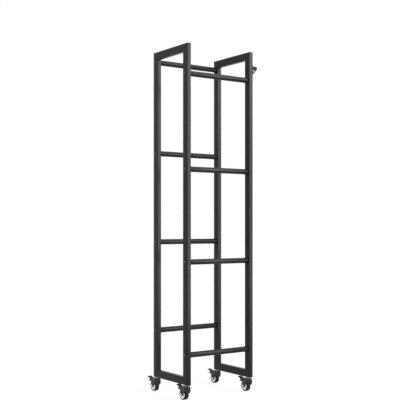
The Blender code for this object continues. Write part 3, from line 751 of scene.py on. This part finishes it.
def add_piece(node, bm, slot, body):
    """Puts a finished piece in the scene in place of its plain solid."""
    mesh = as_mesh(bm)
    mesh.shade_smooth()
    mesh.set_sharp_from_angle(angle=SHARP)
    mesh.materials.append(finish_for(slot))
    piece = bpy.data.objects.new(f"{node}_finished", mesh)
    bpy.context.scene.collection.objects.link(piece)
    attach(piece, body)
    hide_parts(node)


def tube(settings, width, depth, span):
    """A hollow rectangular tube along Z, centred, with square open ends."""
    bm = rectangle(width, depth, settings.corner)
    bmesh.ops.translate(bm, vec=(0, 0, -span / 2), verts=bm.verts)
    bmesh.ops.delete(bm, geom=bm.faces[:], context="FACES_ONLY")
    made = bmesh.ops.extrude_edge_only(bm, edges=bm.edges[:])
    bmesh.ops.translate(bm, vec=(0, 0, span), verts=only(BMVert, made["geom"]))
    bmesh.ops.recalc_face_normals(bm, faces=bm.faces)
    side = bm.faces[:][0]
    if side.normal.dot(side.calc_center_median().xy.to_3d()) < 0:
        bmesh.ops.reverse_faces(bm, faces=bm.faces)
    bmesh.ops.solidify(bm, geom=bm.faces[:], thickness=settings.wall)
    return tidy(bm)


def mitre(bm, settings, corner, inward, upright):
    """Cuts a tube's end at 45 degrees for one corner of a side frame, and files the tip back."""
    across, along = inward
    normal = Vector((0, across, -along) if upright else (0, -across, along)).normalized()
    bmesh.ops.bridge_loops(bm, edges=parted(bm, corner - normal * settings.seam / 2, normal))
    outward = Vector((0, -across, -along)).normalized()
    point = corner - outward * settings.tip_ease * math.sqrt(2)
    bmesh.ops.holes_fill(bm, edges=parted(bm, point, outward), sides=0)
    bmesh.ops.recalc_face_normals(bm, faces=bm.faces)


def weld_bead(settings, centre, half_length):
    """A rippled weld along X in the inner corner between two tubes."""
    bm = bmesh.new()
    bmesh.ops.create_uvsphere(bm, u_segments=BEAD_SIDES, v_segments=BEAD_RINGS, radius=1.0)
    for corner in bm.verts:
        along = corner.co.z
        ripple = 1.0 + BEAD_RIPPLE * math.sin(BEAD_WAVES * math.pi * along)
        fullness = (1.0 - along**2) ** -BEAD_BLUNTNESS if abs(along) < BEAD_TIP else 1.0
        corner.co.xy *= ripple * fullness
    shape = Matrix.Diagonal((settings.bead, settings.bead, half_length, 1.0))
    return laid_along_x(moved(tidy(bm), shape), centre)


class RACK_OT_side_frames(bpy.types.Operator):
    """Builds the two welded side frames: posts and rails with mitred corners"""

    bl_idname = "rack.side_frames"
    bl_label = "Side Frames"

    def execute(self, context):
        settings = context.scene.rack_tubes
        for side, _ in SIDES:
            front_low, front_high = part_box(f"post_front_{side}")
            rear_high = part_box(f"post_rear_{side}")[1]
            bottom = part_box(f"bottom_rail_{side}")[0].z
            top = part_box(f"top_rail_{side}")[1].z
            width, depth, _ = front_high - front_low
            x = (front_low.x + front_high.x) / 2
            ends = {"front": (front_low.y, 1), "rear": (rear_high.y, -1)}
            levels = {"bottom": (bottom, 1), "top": (top, -1)}
            for end, (y, across) in ends.items():
                centre = (x, y + across * depth / 2, (bottom + top) / 2)
                bm = moved(tube(settings, width, depth, top - bottom), Matrix.Translation(centre))
                for z, along in levels.values():
                    mitre(bm, settings, Vector((x, y, z)), (across, along), True)
                add_piece(f"post_{end}_{side}", bm, "powder_coat", "frame")
            for level, (z, along) in levels.items():
                centre = (x, (front_low.y + rear_high.y) / 2, z + along * depth / 2)
                place = Matrix.Translation(centre) @ Matrix.Rotation(math.pi / 2, 4, "X")
                bm = moved(tube(settings, width, depth, rear_high.y - front_low.y), place)
                for y, across in ends.values():
                    mitre(bm, settings, Vector((x, y, z)), (across, along), False)
                half = width / 2 - settings.corner * BEAD_INSET
                beads = [
                    weld_bead(settings, (x, y + across * depth, z + along * depth), half)
                    for y, across in ends.values()
                ]
                add_piece(f"{level}_rail_{side}", gathered(bm, *beads), "powder_coat", "frame")
        return {"FINISHED"}


class RACK_OT_cross_bars(bpy.types.Operator):
    """Builds the eight round cross bars, hollow with a threaded plug in each end"""

    bl_idname = "rack.cross_bars"
    bl_label = "Cross Bars"

    def execute(self, context):
        settings = context.scene.rack_tubes
        bore, radius, ease = settings.bar_bore, settings.bar_radius, settings.bar_ease
        hollow = radius - settings.bar_wall
        for end in ENDS:
            for number in LEVELS:
                node = f"{end}_bar_{number}"
                low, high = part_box(node)
                half = (high.x - low.x) / 2
                inside = half - settings.bar_plug
                profile = (
                    (bore, -half, 0.0),
                    (radius, -half, ease),
                    (radius, half, ease),
                    (bore, half, 0.0),
                    (bore, inside, 0.0),
                    (hollow, inside, 0.0),
                    (hollow, -inside, 0.0),
                    (bore, -inside, 0.0),
                )
                bm = laid_along_x(spun(profile), (low + high) / 2)
                add_piece(node, bm, "powder_coat", "frame")
        return {"FINISHED"}


def driven_head(shank, reach, head, height, outline, recess, depth):
    """A screw along -Z with its head above z = 0; recess is (corners, length, width).

    The drive is a slot, or a hexagon whose length and width are its radius over the corners.
    """
    corners, recess_length, recess_width = recess
    profile = [
        (0, -reach, 0.0),
        (shank * TIP_SHARE, -reach, 0.0),
        (shank, -reach + shank * TIP_CHAMFER, 0.0),
        (shank, 0, 0.0),
        (head, 0, 0.0),
    ]
    profile += [(head * wide, height * high, height * soft) for wide, high, soft in outline]
    bm = spun(profile, SMALL_SIDES)
    rim = [edge for edge in bm.edges if len(edge.link_faces) == 1]
    bmesh.ops.create_circle(bm, segments=corners, radius=1.0)
    loose = [edge for edge in bm.edges if not edge.link_faces]
    bmesh.ops.subdivide_edges(bm, edges=loose, cuts=SMALL_SIDES // corners - 1)
    mouth = [edge for edge in bm.edges if not edge.link_faces]
    size = Vector((recess_length, recess_width, 1.0, 1.0))
    turn = Matrix()
    if corners == SLOT:
        turn = Matrix.Rotation(math.pi / 4, 4, "Z")
        size.xy /= math.sqrt(2)
    place = Matrix.Translation((0, 0, height)) @ Matrix.Diagonal(size) @ turn
    drive = [corner for corner in bm.verts if not corner.link_faces]
    bmesh.ops.transform(bm, matrix=place, verts=drive)
    bmesh.ops.bridge_loops(bm, edges=rim + mouth)
    made = bmesh.ops.extrude_edge_only(bm, edges=mouth)
    bmesh.ops.translate(bm, vec=(0, 0, -depth), verts=only(BMVert, made["geom"]))
    made = bmesh.ops.extrude_edge_only(bm, edges=only(BMEdge, made["geom"]))
    point = Vector((0, 0, height - depth - recess_width * DRILL_SHARE))
    bmesh.ops.pointmerge(bm, verts=only(BMVert, made["geom"]), merge_co=point)
    return tidy(bm)


class RACK_OT_bar_bolts(bpy.types.Operator):
    """Builds the button head bolts that hold the bars"""

    bl_idname = "rack.bar_bolts"
    bl_label = "Bar Bolts"

    def execute(self, context):
        settings = context.scene.rack_bolts
        head, height = settings.head, settings.head_height
        recess = (HEXAGON, settings.socket, settings.socket)
        for end in ENDS:
            for number in LEVELS:
                for side, way in SIDES:
                    node = f"{end}_bolt_{number}_{side}"
                    low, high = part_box(node)
                    sizes = (settings.shank, high.x - low.x - height, head, height)
                    bm = driven_head(*sizes, BUTTON_HEAD, recess, settings.socket_depth)
                    seat = high.x - height if way > 0 else low.x + height
                    centre = (seat, (low.y + high.y) / 2, (low.z + high.z) / 2)
                    face = Matrix.Rotation(way * math.pi / 2, 4, "Y")
                    turn = Matrix.Rotation(number * BOLT_TURN + way, 4, "Z")
                    moved(bm, Matrix.Translation(centre) @ face @ turn)
                    add_piece(node, bm, "black_steel", "frame")
        return {"FINISHED"}


def opener_hood(settings, width, reach, gap):
    """The hood with its slanted rim and side windows; x = 0 is the post and z = 0 the top."""
    slope = (settings.hood_height - settings.hood_nose) / (reach - settings.plate_thickness)
    bm = bmesh.new()
    half = width / 2
    plan = ((gap, half), (gap, -half), (reach, -half), (reach, half))
    corners = [bm.verts.new((x, y, -settings.hood_height)) for x, y in plan]
    bm.faces.new(corners)
    round_corners(bm, corners[2:], half - MERGE, NOSE_STEPS)
    bmesh.ops.remove_doubles(bm, verts=bm.verts, dist=MERGE * 4)
    extruded(bm, (0, 0, settings.hood_height))
    up = Vector((settings.hood_fall / reach, 0, 1)).normalized()
    bmesh.ops.holes_fill(bm, edges=parted(bm, (0, 0, 0), up), sides=0)
    rim = Vector((settings.plate_thickness, 0, -settings.hood_height))
    away = Vector((slope, 0, -1)).normalized()
    parted(bm, rim, away)
    strap = rim - away * settings.window_strap
    scored(bm, strap, away)
    scored(bm, (settings.window_near, 0, 0), (1, 0, 0))
    scored(bm, (settings.window_far, 0, 0), (1, 0, 0))
    scored(bm, (0, 0, -settings.window_top), (0, 0, 1))
    spare = []
    for face in bm.faces:
        middle = face.calc_center_median()
        at_post = abs(face.normal.x) > SQUARE_ON and middle.x < gap + MERGE
        if at_post or face.normal.z < -LEANING:
            spare.append(face)
        elif abs(face.normal.z) < LEANING:
            over_strap = (middle - strap).dot(away) < 0
            between = settings.window_near < middle.x < settings.window_far
            if over_strap and between and middle.z < -settings.window_top:
                spare.append(face)
    bmesh.ops.delete(bm, geom=spare, context="FACES")
    walled(tidy(bm), settings.hood_wall)
    bmesh.ops.dissolve_limit(bm, angle_limit=FLAT, verts=bm.verts, edges=bm.edges)
    return soften(bm, settings.edge)


class RACK_OT_bottle_opener(bpy.types.Operator):
    """Builds the cast bottle opener and its two screws"""

    bl_idname = "rack.bottle_opener"
    bl_label = "Bottle Opener"

    def execute(self, context):
        settings = context.scene.rack_opener
        bolts = context.scene.rack_bolts
        low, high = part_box("bottle_opener")
        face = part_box("post_front_right")[1].x
        gap = low.x - face
        hood_top = high.z - settings.plate_over_hood
        hood = opener_hood(settings, high.y - low.y, high.x - face, gap)
        plate = rectangle(settings.plate_width, high.z - low.z, settings.plate_corner)
        extruded(plate, (0, 0, settings.plate_thickness))
        lift = (high.z + low.z) / 2 - hood_top
        stand = Matrix(((0, 0, 1, gap), (1, 0, 0, 0), (0, 1, 0, lift), (0, 0, 0, 1)))
        bm = united(hood, soften(moved(plate, stand), settings.edge))
        moved(bm, Matrix.Translation((face, (low.y + high.y) / 2, hood_top)))
        add_piece("bottle_opener", bm, "cast_iron", "frame")
        head, height = bolts.screw_head, bolts.screw_height
        recess = (SLOT, bolts.slot_length, bolts.slot_width)
        for name in ("opener_screw_lower", "opener_screw_upper"):
            low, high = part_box(name)
            sizes = (bolts.screw_shank, high.x - low.x - height, head, height)
            bm = driven_head(*sizes, PAN_HEAD, recess, bolts.slot_depth)
            laid_along_x(bm, (high.x - height, (low.y + high.y) / 2, (low.z + high.z) / 2))
            add_piece(name, bm, "zinc_steel", "frame")
        return {"FINISHED"}


def caster_axis(corner):
    """Where a caster's swivel axis meets the floor."""
    low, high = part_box(f"{corner}_stem")
    return Vector(((low.x + high.x) / 2, (low.y + high.y) / 2, 0))


class CasterPlan:
    """Heights and distances of the casters, about a caster's own swivel axis."""

    def __init__(self):
        corner = CASTERS[0]
        axis = caster_axis(corner)
        stem_low, stem_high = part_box(f"{corner}_stem")
        self.stem_low = stem_low.z
        self.stem_high = stem_high.z
        self.flange = (stem_high.x - stem_low.x) / 2
        tyre_low, tyre_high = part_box(f"{corner}_tyre")
        self.wheel_radius = (tyre_high.z - tyre_low.z) / 2
        self.wheel_height = (tyre_high.z + tyre_low.z) / 2
        self.tyre_half = (tyre_high.x - tyre_low.x) / 2
        self.trail = (tyre_low.y + tyre_high.y) / 2 - axis.y
        hub_low, hub_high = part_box(f"{corner}_hub")
        self.boss_half = (hub_high.x - hub_low.x) / 2
        fork_low, fork_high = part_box(f"{corner}_fork")
        self.crown_top = fork_high.z
        self.hood_radius = axis.y - fork_low.y
        pivot = Vector(JOINTS[f"{corner}_brake_press"]["pos_m"]) - axis
        self.pivot_y = pivot.y
        self.pivot_z = pivot.z
        self.pedal_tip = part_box(f"{corner}_brake_pedal")[1].y - axis.y


def place_at_casters(bm, part, slot, body):
    """Puts a copy of a caster's piece under each post."""
    for corner in CASTERS:
        piece = moved(bm.copy(), Matrix.Translation(caster_axis(corner)))
        add_piece(f"{corner}_{part}", piece, slot, body.format(corner))
    bm.free()


class RACK_OT_stems(bpy.types.Operator):
    """Builds the casters' threaded stems with their flanges"""

    bl_idname = "rack.stems"
    bl_label = "Stems"

    def execute(self, context):
        plan = CasterPlan()
        foot_top = plan.stem_low + STEM_FOOT_HEIGHT
        flange_low = plan.crown_top + GAP
        flange_top = flange_low + FLANGE_HEIGHT
        collar_top = flange_top + COLLAR_HEIGHT
        thread_root = STEM_SHANK - THREAD_DEPTH
        profile = [
            (0, plan.stem_low, 0.0),
            (STEM_FOOT, plan.stem_low, SLIGHT_EDGE),
            (STEM_FOOT, foot_top, HAIRLINE_EDGE),
            (STEM_SHANK, foot_top, 0.0),
            (STEM_SHANK, flange_low, 0.0),
            (plan.flange, flange_low, HAIRLINE_EDGE),
            (plan.flange, flange_top, SOFT_EDGE),
            (COLLAR_FOOT, flange_top, 0.0),
            (COLLAR_TOP, collar_top, FINE_EDGE),
            (STEM_SHANK, collar_top, 0.0),
        ]
        level = collar_top + THREAD_PITCH
        while level < plan.stem_high - 2 * THREAD_PITCH:
            profile.append((STEM_SHANK, level, 0.0))
            profile.append((thread_root, level + THREAD_PITCH / 2, 0.0))
            level += THREAD_PITCH
        profile += [
            (STEM_SHANK, level, 0.0),
            (STEM_SHANK, plan.stem_high - THREAD_DEPTH, 0.0),
            (thread_root, plan.stem_high, 0.0),
            (0, plan.stem_high, 0.0),
        ]
        place_at_casters(spun(profile, SMALL_SIDES), "stem", "zinc_steel", "frame")
        return {"FINISHED"}


def fork_hood(settings, plan):
    """The fork's pressed round hood, low in front and cut away behind for the wheel."""
    top, radius, depth = plan.crown_top, plan.hood_radius, settings.hood_front
    rows = [(radius * wide, top - depth * low, radius * soft) for wide, low, soft in HOOD_OUTLINE]
    bm = spun(rows)
    low_front = Vector((0, -radius, top - depth))
    along = Vector((0, radius, top - settings.hood_rear)) - low_front
    parted(bm, low_front, Vector((0, along.z, -along.y)).normalized())
    crown_low = top - CROWN_DEPTH
    slot = settings.leg_inner - SLOT_EASE
    scored(bm, (slot, 0, 0), (1, 0, 0))
    scored(bm, (-slot, 0, 0), (1, 0, 0))
    scored(bm, (0, 0, 0), (0, 1, 0))
    scored(bm, (0, 0, crown_low), (0, 0, 1))
    spare = []
    for face in bm.faces:
        middle = face.calc_center_median()
        if abs(middle.x) < slot and middle.y > 0 and middle.z < crown_low:
            spare.append(face)
    bmesh.ops.delete(bm, geom=spare, context="FACES")
    return soften(walled(bm, settings.hood_wall), FINE_EDGE)


def fork_leg(settings, plan, side):
    """One leg of the fork: from the crown down to the axle, with an ear for the pedal."""
    low, high = sorted((side * settings.leg_inner, side * (settings.leg_inner + settings.leg)))
    crown = plan.crown_top - LEG_SUNK
    boss = disc(settings.leg_boss, low, high, plan.trail, plan.wheel_height)
    ear = disc(settings.ear, low, high, plan.pivot_y, plan.pivot_z)
    top = bmesh.new()
    for x in (low, high):
        top.verts.new((x, -LEG_FRONT, crown))
        top.verts.new((x, -LEG_FRONT, plan.crown_top - LEG_KNEE))
        top.verts.new((x, settings.bridge_reach - LEG_INSET, crown))
    return hull(SLIGHT_EDGE, boss, ear, top)


def fork_bridge(settings, plan):
    """The flat pressed top between the two legs, behind the hood."""
    half = settings.leg_inner + settings.leg - BRIDGE_INSET
    points = [
        (settings.bridge_reach * share + back, plan.crown_top - down)
        for share, back, down in BRIDGE_OUTLINE
    ]
    return wedge(points, half, BRIDGE_EDGE)


def pivot_pin(settings, plan, side):
    """The rivet that carries the pedal in one ear, with a low dome outside."""
    tail = settings.leg_inner - PIN_TAIL
    outside = settings.leg_inner + settings.leg
    profile = [(0, tail, 0.0), (PIN_RADIUS, tail, HAIRLINE_EDGE)]
    profile += [(radius, outside + height, rounding) for radius, height, rounding in PIN_HEAD]
    bm = moved(spun(profile, SMALL_SIDES), Matrix.Rotation(side * math.pi / 2, 4, "Y"))
    return moved(bm, Matrix.Translation((0, plan.pivot_y, plan.pivot_z)))


def axle_shape(settings, plan):
    """The axle bolt along X, with its hexagon head and nut."""
    height = settings.axle_head_height
    seat = settings.leg_inner + settings.leg + GAP
    start = -seat - AXLE_TAIL
    end = seat + height + AXLE_END
    profile = (
        (0, start, 0.0),
        (settings.axle, start, 0.0),
        (settings.axle, end - AXLE_TAPER, 0.0),
        (settings.axle - SLIGHT_EDGE, end, 0.0),
        (0, end, 0.0),
    )
    heads = []
    for way in (-1, 1):
        head = drum(HEXAGON, settings.axle_head, height)
        moved(head, Matrix.Translation((0, 0, way * (seat + height / 2))))
        heads.append(soften(tidy(head), SLIGHT_EDGE, AXLE_HEAD_STEPS))
    bm = united(spun(profile, SMALL_SIDES), *heads)
    return laid_along_x(bm, (0, plan.trail, plan.wheel_height))


class RACK_OT_forks(bpy.types.Operator):
    """Builds the swivelling forks and their axles"""

    bl_idname = "rack.forks"
    bl_label = "Forks and Axles"

    def execute(self, context):
        settings = context.scene.rack_casters
        plan = CasterPlan()
        bore = STEM_SHANK + GAP
        low, high = plan.crown_top - CROWN_DEPTH, plan.crown_top - CROWN_SUNK
        crown = (
            (bore, low, 0.0),
            (plan.hood_radius * CROWN_FOOT, low, SOFT_EDGE),
            (plan.hood_radius * CROWN_HEAD, high, 0.0),
            (bore, high, 0.0),
        )
        shapes = [fork_hood(settings, plan), spun(crown), fork_bridge(settings, plan)]
        shapes += [fork_leg(settings, plan, side) for _, side in SIDES]
        shapes += [pivot_pin(settings, plan, side) for _, side in SIDES]
        place_at_casters(united(*shapes), "fork", "black_nickel", "{}_swivel")
        place_at_casters(axle_shape(settings, plan), "axle", "zinc_steel", "{}_swivel")
        return {"FINISHED"}


def tyre_shape(settings, plan):
    """The tyre, with round shoulders and a fine moulding line round the tread."""
    outer = plan.wheel_radius - settings.parting
    inner = outer - settings.tyre_thickness + settings.parting
    half = plan.tyre_half
    line = settings.parting_width / 2
    profile = (
        (inner, -half + FINE_EDGE, FINE_EDGE),
        (outer, -half, settings.tyre_shoulder),
        (outer, -line, 0.0),
        (plan.wheel_radius, -line / 2, 0.0),
        (plan.wheel_radius, line / 2, 0.0),
        (outer, line, 0.0),
        (outer, half, settings.tyre_shoulder),
        (inner, half - FINE_EDGE, FINE_EDGE),
    )
    return laid_along_x(spun(profile, TYRE_SIDES))


def hub_shape(settings, plan):
    """The hub: rim, disc and boss, with stiffening ribs on both faces."""
    outside = plan.wheel_radius - settings.tyre_thickness - GAP
    inside = outside - settings.hub_rim
    rim_half = plan.tyre_half - HUB_SUNK
    web_half = settings.hub_web / 2
    bore = settings.axle + GAP
    boss = settings.hub_boss
    rows = [
        (bore, plan.boss_half, FINE_EDGE),
        (boss, plan.boss_half, SOFT_EDGE),
        (boss, web_half, FULL_EDGE),
        (inside, web_half, FULL_EDGE),
        (inside, rim_half, ROUND_EDGE),
        (outside, rim_half, SLIGHT_EDGE),
    ]
    rows += [(radius, -height, rounding) for radius, height, rounding in reversed(rows)]
    shapes = [spun(rows)]
    size = (inside - boss + RIB_BITE, settings.rib, 2 * (rim_half - RIB_SUNK), 1.0)
    place = Matrix.Translation(((inside + boss) / 2, 0, 0)) @ Matrix.Diagonal(size)
    for number in range(settings.hub_ribs):
        turn = Matrix.Rotation(2 * math.pi * number / settings.hub_ribs, 4, "Z")
        rib = bmesh.new()
        bmesh.ops.create_cube(rib, size=1.0)
        shapes.append(soften(moved(rib, turn @ place), FINE_EDGE))
    return laid_along_x(united(*shapes))


class RACK_OT_wheels(bpy.types.Operator):
    """Builds the tyres and hubs"""

    bl_idname = "rack.wheels"
    bl_label = "Wheels"

    def execute(self, context):
        settings = context.scene.rack_casters
        plan = CasterPlan()
        centre = Matrix.Translation((0, plan.trail, plan.wheel_height))
        tyre = moved(tyre_shape(settings, plan), centre)
        place_at_casters(tyre, "tyre", "tyre", "{}_wheel")
        hub = moved(hub_shape(settings, plan), centre)
        place_at_casters(hub, "hub", "white_plastic", "{}_wheel")
        return {"FINISHED"}


def pedal_shape(settings, plan):
    """The brake pedal about its pivot: barrel, arm, ribbed tread, shoe and release prong."""
    thick = settings.pedal_thickness
    half = plan.boss_half
    tread_half = settings.tread_width / 2
    top = PEDAL_BARREL
    tip_y = plan.pedal_tip - plan.pivot_y
    tip_z = settings.tread_rise
    bend_y = tip_y - settings.tread_length
    barrel = (
        (PEDAL_BORE, -half, 0.0),
        (PEDAL_BARREL, -half, SLIGHT_EDGE),
        (PEDAL_BARREL, half, SLIGHT_EDGE),
        (PEDAL_BORE, half, 0.0),
    )
    arm = (
        (PEDAL_BORE, top),
        (PEDAL_BORE, top - thick + ARM_TAPER),
        (bend_y, top - thick),
        (bend_y, top),
    )
    tread = (
        (bend_y - TREAD_ROOT, top - thick),
        (bend_y - TREAD_ROOT, top + TREAD_LIP),
        (tip_y - thick, tip_z + thick / 2),
        (tip_y, tip_z + thick / 2 - TREAD_NOSE),
        (tip_y, tip_z - thick / 2),
        (tip_y - thick, tip_z - thick),
    )
    shapes = [
        laid_along_x(spun(barrel, SMALL_SIDES)),
        wedge(arm, half, SOFT_EDGE),
        wedge(tread, tread_half, FULL_EDGE),
    ]
    for near, far, face, inset in PEDAL_FEET:
        points = ((near, top - thick / 2), *face, (far, top - thick / 2))
        shapes.append(wedge(points, half - inset, SOFT_EDGE))
    size = Matrix.Diagonal((TREAD_RIB, TREAD_RIB, tread_half - RIB_SUNK, 1.0))
    for number in range(settings.tread_ribs):
        share = (number + 1) / (settings.tread_ribs + 1)
        y = bend_y + (tip_y - thick - bend_y) * share
        z = top + (tip_z + thick / 2 - top) * share
        rib = bmesh.new()
        bmesh.ops.create_uvsphere(rib, u_segments=RIB_SIDES, v_segments=RIB_RINGS, radius=1.0)
        shapes.append(laid_along_x(moved(rib, size), (0, y, z)))
    return united(*shapes)


class RACK_OT_brake_pedals(bpy.types.Operator):
    """Builds the casters' brake pedals"""

    bl_idname = "rack.brake_pedals"
    bl_label = "Brake Pedals"

    def execute(self, context):
        plan = CasterPlan()
        pivot = Matrix.Translation((0, plan.pivot_y, plan.pivot_z))
        bm = moved(pedal_shape(context.scene.rack_casters, plan), pivot)
        place_at_casters(bm, "brake_pedal", "black_plastic", "{}_pedal")
        return {"FINISHED"}


def add_lamp(name, place, aim, size, energy):
    """A soft rectangular lamp."""
    light = bpy.data.lights.new(name, "AREA")
    light.shape = "RECTANGLE"
    light.size, light.size_y = size
    light.energy = energy
    lamp = bpy.data.objects.new(name, light)
    lamp.location = place
    lamp.rotation_euler = (aim - place).to_track_quat("-Z", "Y").to_euler()
    bpy.context.scene.collection.objects.link(lamp)


def seen_directly(finish):
    """1 for rays from the camera, mirrors and clear materials, and 0 for light's own rays."""
    paths = [
        finish.node("ShaderNodeLightPath", output=name)
        for name in ("Is Camera Ray", "Is Glossy Ray", "Is Transmission Ray")
    ]
    return finish.maths("MAXIMUM", finish.maths("MAXIMUM", paths[0], paths[1]), paths[2])


def floor_finish(settings):
    """A pale floor that keeps shadows near the rack and goes to plain white far away."""
    surface = Surface("floor")
    far = surface.node("ShaderNodeVectorMath", {"operation": "LENGTH"}, {0: surface.place}, "Value")
    fade = surface.node(
        "ShaderNodeMapRange",
        {"interpolation_type": "SMOOTHSTEP"},
        {"Value": far, "From Min": 0.3, "From Max": 1.2, "To Min": 0.85, "To Max": 1.0},
    )
    tone = surface.blend(
        surface.noise(0.4, 3.0) * 0.3, settings.floor, tinted(settings.floor, 0.98)
    )
    surface.set(base_color=tone, roughness=0.9, specular_ior_level=0.1)
    glow = surface.node("ShaderNodeEmission", {}, WHITE)
    share = fade * seen_directly(surface)
    inputs = {0: share, 1: Wire(surface, surface.shader.outputs[0]), 2: glow}
    whole = surface.node("ShaderNodeMixShader", {}, inputs)
    surface.feed(surface.tree.nodes["Material Output"].inputs["Surface"], whole)
    return surface.material


class RACK_OT_stage(bpy.types.Operator):
    """Sets up the floor, the even daylight, the lamps and the camera"""

    bl_idname = "rack.stage"
    bl_label = "Stage"

    def execute(self, context):
        settings = context.scene.rack_stage
        bm = bmesh.new()
        bmesh.ops.create_grid(bm, x_segments=1, y_segments=1, size=settings.floor_size / 2)
        floor = bpy.data.objects.new("floor", as_mesh(bm))
        floor.data.materials.append(floor_finish(settings))
        context.scene.collection.objects.link(floor)

        world = bpy.data.worlds.new("daylight")
        world.use_nodes = True
        world.node_tree.nodes.clear()
        context.scene.world = world
        sky = Finish(world.node_tree)
        backdrop = sky.node("ShaderNodeBackground", {}, WHITE)
        light = sky.node("ShaderNodeBackground", {}, {**WHITE, "Strength": settings.daylight})
        inputs = {0: seen_directly(sky), 1: light, 2: backdrop}
        both = sky.node("ShaderNodeMixShader", {}, inputs)
        output = sky.tree.nodes.new("ShaderNodeOutputWorld")
        sky.feed(output.inputs["Surface"], both)

        middle = (cad_low + cad_high) / 2
        for name, offset, size in LAMPS:
            energy = getattr(settings, f"{name}_power")
            add_lamp(name, middle + Vector(offset), middle, size, energy)

        camera = bpy.data.cameras.new("camera")
        camera.lens = settings.lens
        camera.shift_y = settings.shift
        camera.clip_end = settings.floor_size
        viewer = bpy.data.objects.new("camera", camera)
        viewer.location = settings.camera
        viewer.rotation_euler = (math.pi / 2, 0, -settings.turn)
        context.scene.collection.objects.link(viewer)
        context.scene.camera = viewer
        context.scene.view_settings.view_transform = "Standard"
        return {"FINISHED"}


OPERATORS = (
    RACK_OT_stage,
    RACK_OT_side_frames,
    RACK_OT_cross_bars,
    RACK_OT_bar_bolts,
    RACK_OT_bottle_opener,
    RACK_OT_stems,
    RACK_OT_forks,
    RACK_OT_wheels,
    RACK_OT_brake_pedals,
)


class RACK_PT_pieces(bpy.types.Panel):
    """Lists the rack's pieces and their settings"""

    bl_label = "Crate Rack"
    bl_space_type = "VIEW_3D"
    bl_region_type = "UI"
    bl_category = "Crate Rack"

    def draw(self, context):
        for operator in OPERATORS:
            self.layout.operator(operator.bl_idname)
        for name, group in SETTINGS:
            box = self.layout.box()
            for key in group.__annotations__:
                box.prop(getattr(context.scene, name), key)


def register():
    for _, group in SETTINGS:
        bpy.utils.register_class(group)
    for name, group in SETTINGS:
        setattr(bpy.types.Scene, name, PointerProperty(type=group))
    for operator in OPERATORS:
        bpy.utils.register_class(operator)
    bpy.utils.register_class(RACK_PT_pieces)


def unregister():
    bpy.utils.unregister_class(RACK_PT_pieces)
    for operator in reversed(OPERATORS):
        bpy.utils.unregister_class(operator)
    for name, group in reversed(SETTINGS):
        delattr(bpy.types.Scene, name)
        bpy.utils.unregister_class(group)


def main():
    register()
    for operator in OPERATORS:
        group, name = operator.bl_idname.split(".")
        getattr(getattr(bpy.ops, group), name)()


if __name__ == "__main__":
    main()
